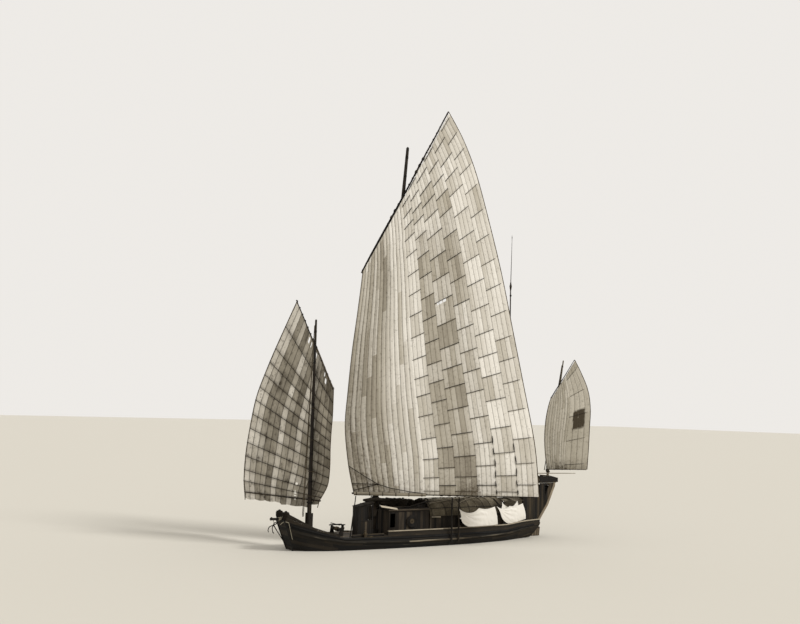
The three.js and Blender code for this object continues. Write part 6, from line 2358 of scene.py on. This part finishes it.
        sketch = Sketch(739)
        sketch.tube([at(0.0, 0.0, z) for z in (-1.24, 0.0, 1.0, 2.0, 2.48)], [0.08, 0.084, 0.085, 0.085,
            0.083], 18, 0.0)
        sketch.tube([at(0.0, 0.0, z) for z in (2.211, 2.22, 2.27, 2.281)], [0.1, 0.134, 0.134, 0.1], 18, -0.6)
        top = ((-0.23, 0.64), (0.06, 1.01), (0.62, 0.93), (0.82, -1.08))
        low = ((-0.23, -1.24), (0.82, -1.08))
        count = 8
        for k in range(count):
            a, b = lerp(-0.23, 0.7, k / count), lerp(-0.23, 0.7, (k + 1) / count) - 0.006
            middle = (a + b) / 2
            z1, z0 = table_value(top, middle), table_value(low, middle)
            sketch.board(at(middle, 0.0, z0 + 0.01), at(middle, 0.0, z1 - 0.01), at(1, 0, 0) - at(0, 0, 0),
                         b - a, 0.07)
        sketch.build("rudder_boards", STERN_WOOD, "rudder", "rudder_set")
        straps = Sketch(743)
        for z in (-0.8, 0.0, 0.62):
            for side in (-1, 1):
                straps.board(at(-0.21, side * 0.042, z), at(0.68, side * 0.042, z + 0.04), UP, 0.07, 0.012,
                             0.0, 0.003)
        straps.build("rudder_straps", IRON, body="rudder_set")
        beam = Sketch(751)
        for side in (-1, 1):
            beam.board(at(0.0, side * 0.1, 2.13), at(0.0, side * 1.017, 2.13), at(1, 0, 0) - at(0, 0, 0),
                       0.295, 0.155, None, 0.015)
        for x in (-0.12, 0.12):
            beam.board(at(x, -0.11, 2.13), at(x, 0.11, 2.13), UP, 0.155, 0.055, None, 0.01)
        beam.build("rudder_beam_timber", SPAR_WOOD, "rudder_beam")
        tiller = Sketch(757)
        path = [at(lerp(0.18, -1.5, k / 8), 0.0, 2.53 + 0.06 * k / 8) for k in range(9)]
        tiller.tube(path, [0.058, 0.058, 0.055, 0.05, 0.046, 0.043, 0.04, 0.038, 0.034], 12, 0.2, 0.84)
        tiller.build("tiller_bar", TRIM_WOOD, "tiller", "rudder_set")


@dataclass
class Studio:
    """Camera, lights and the pale floor at the waterline."""

    eye: tuple[float, float, float] = (-36.686, -57.478, 9.2)
    heading: float = 31.5
    pitch: float = 5.95
    roll: float = 1.5
    lens: float = 42.75
    sun_turn: float = 38.0

    def build(self) -> None:
        """Sets the camera, the sun, the sky and the floor."""
        self.place_camera()
        sun = bpy.data.lights.new("sun", "SUN")
        sun.energy = 2.2
        sun.angle = radians(14)
        sun.color = (1.0, 0.99, 0.97)
        lamp = place_in_scene("sun", sun)
        way = Matrix.Rotation(radians(self.sun_turn), 3, "Z") @ Vector((0, 1, -0.9))
        lamp.rotation_euler = way.to_track_quat("-Z", "Y").to_euler()
        world = bpy.data.worlds.new("sky")
        bpy.context.scene.world = world
        world.use_nodes = True
        sky = world.node_tree.nodes["Background"]
        sky.inputs["Color"].default_value = (0.87, 0.845, 0.81, 1.0)
        sky.inputs["Strength"].default_value = 0.98
        floor = bpy.data.meshes.new("floor")
        size = 600.0
        floor.from_pydata([(-size, -size, 0), (size, -size, 0), (size, size, 0), (-size, size, 0)], [],
                          [(0, 1, 2, 3)])
        floor.materials.append(GROUND.material())
        place_in_scene("floor", floor)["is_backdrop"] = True
        bpy.context.scene.view_settings.view_transform = "Standard"

    def place_camera(self) -> None:
        """Sets the camera where the photograph was taken from."""
        turn, tilt, lean = (radians(a) for a in (self.heading, self.pitch, self.roll))
        level = Vector((sin(turn), cos(turn), 0))
        side = Vector((cos(turn), -sin(turn), 0))
        forward = level * cos(tilt) + UP * sin(tilt)
        over = side.cross(forward)
        right = side * cos(lean) + over * sin(lean)
        top = over * cos(lean) - side * sin(lean)
        camera = bpy.data.cameras.new("camera")
        camera.lens = self.lens
        camera.sensor_width = 36.0
        camera.clip_end = 2000.0
        holder = place_in_scene("camera", camera)
        place = Matrix((right, top, -forward)).transposed().to_4x4()
        place.translation = Vector(self.eye)
        holder.matrix_world = place
        bpy.context.scene.camera = holder


def main() -> None:
    """Builds the pieces in order and reports them."""
    logging.basicConfig(level=logging.INFO, format="%(message)s")
    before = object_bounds()
    for part in (Hull(), Bow(), Masts(), Sails(), Shelter(), House(), MatHouse(), RoofGear(), Waist(),
                 Stern()):
        part.build()
    Studio().build()
    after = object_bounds()
    [[list(corner) for corner in box] for box in (before, after)]


if __name__ == "__main__":
    main()
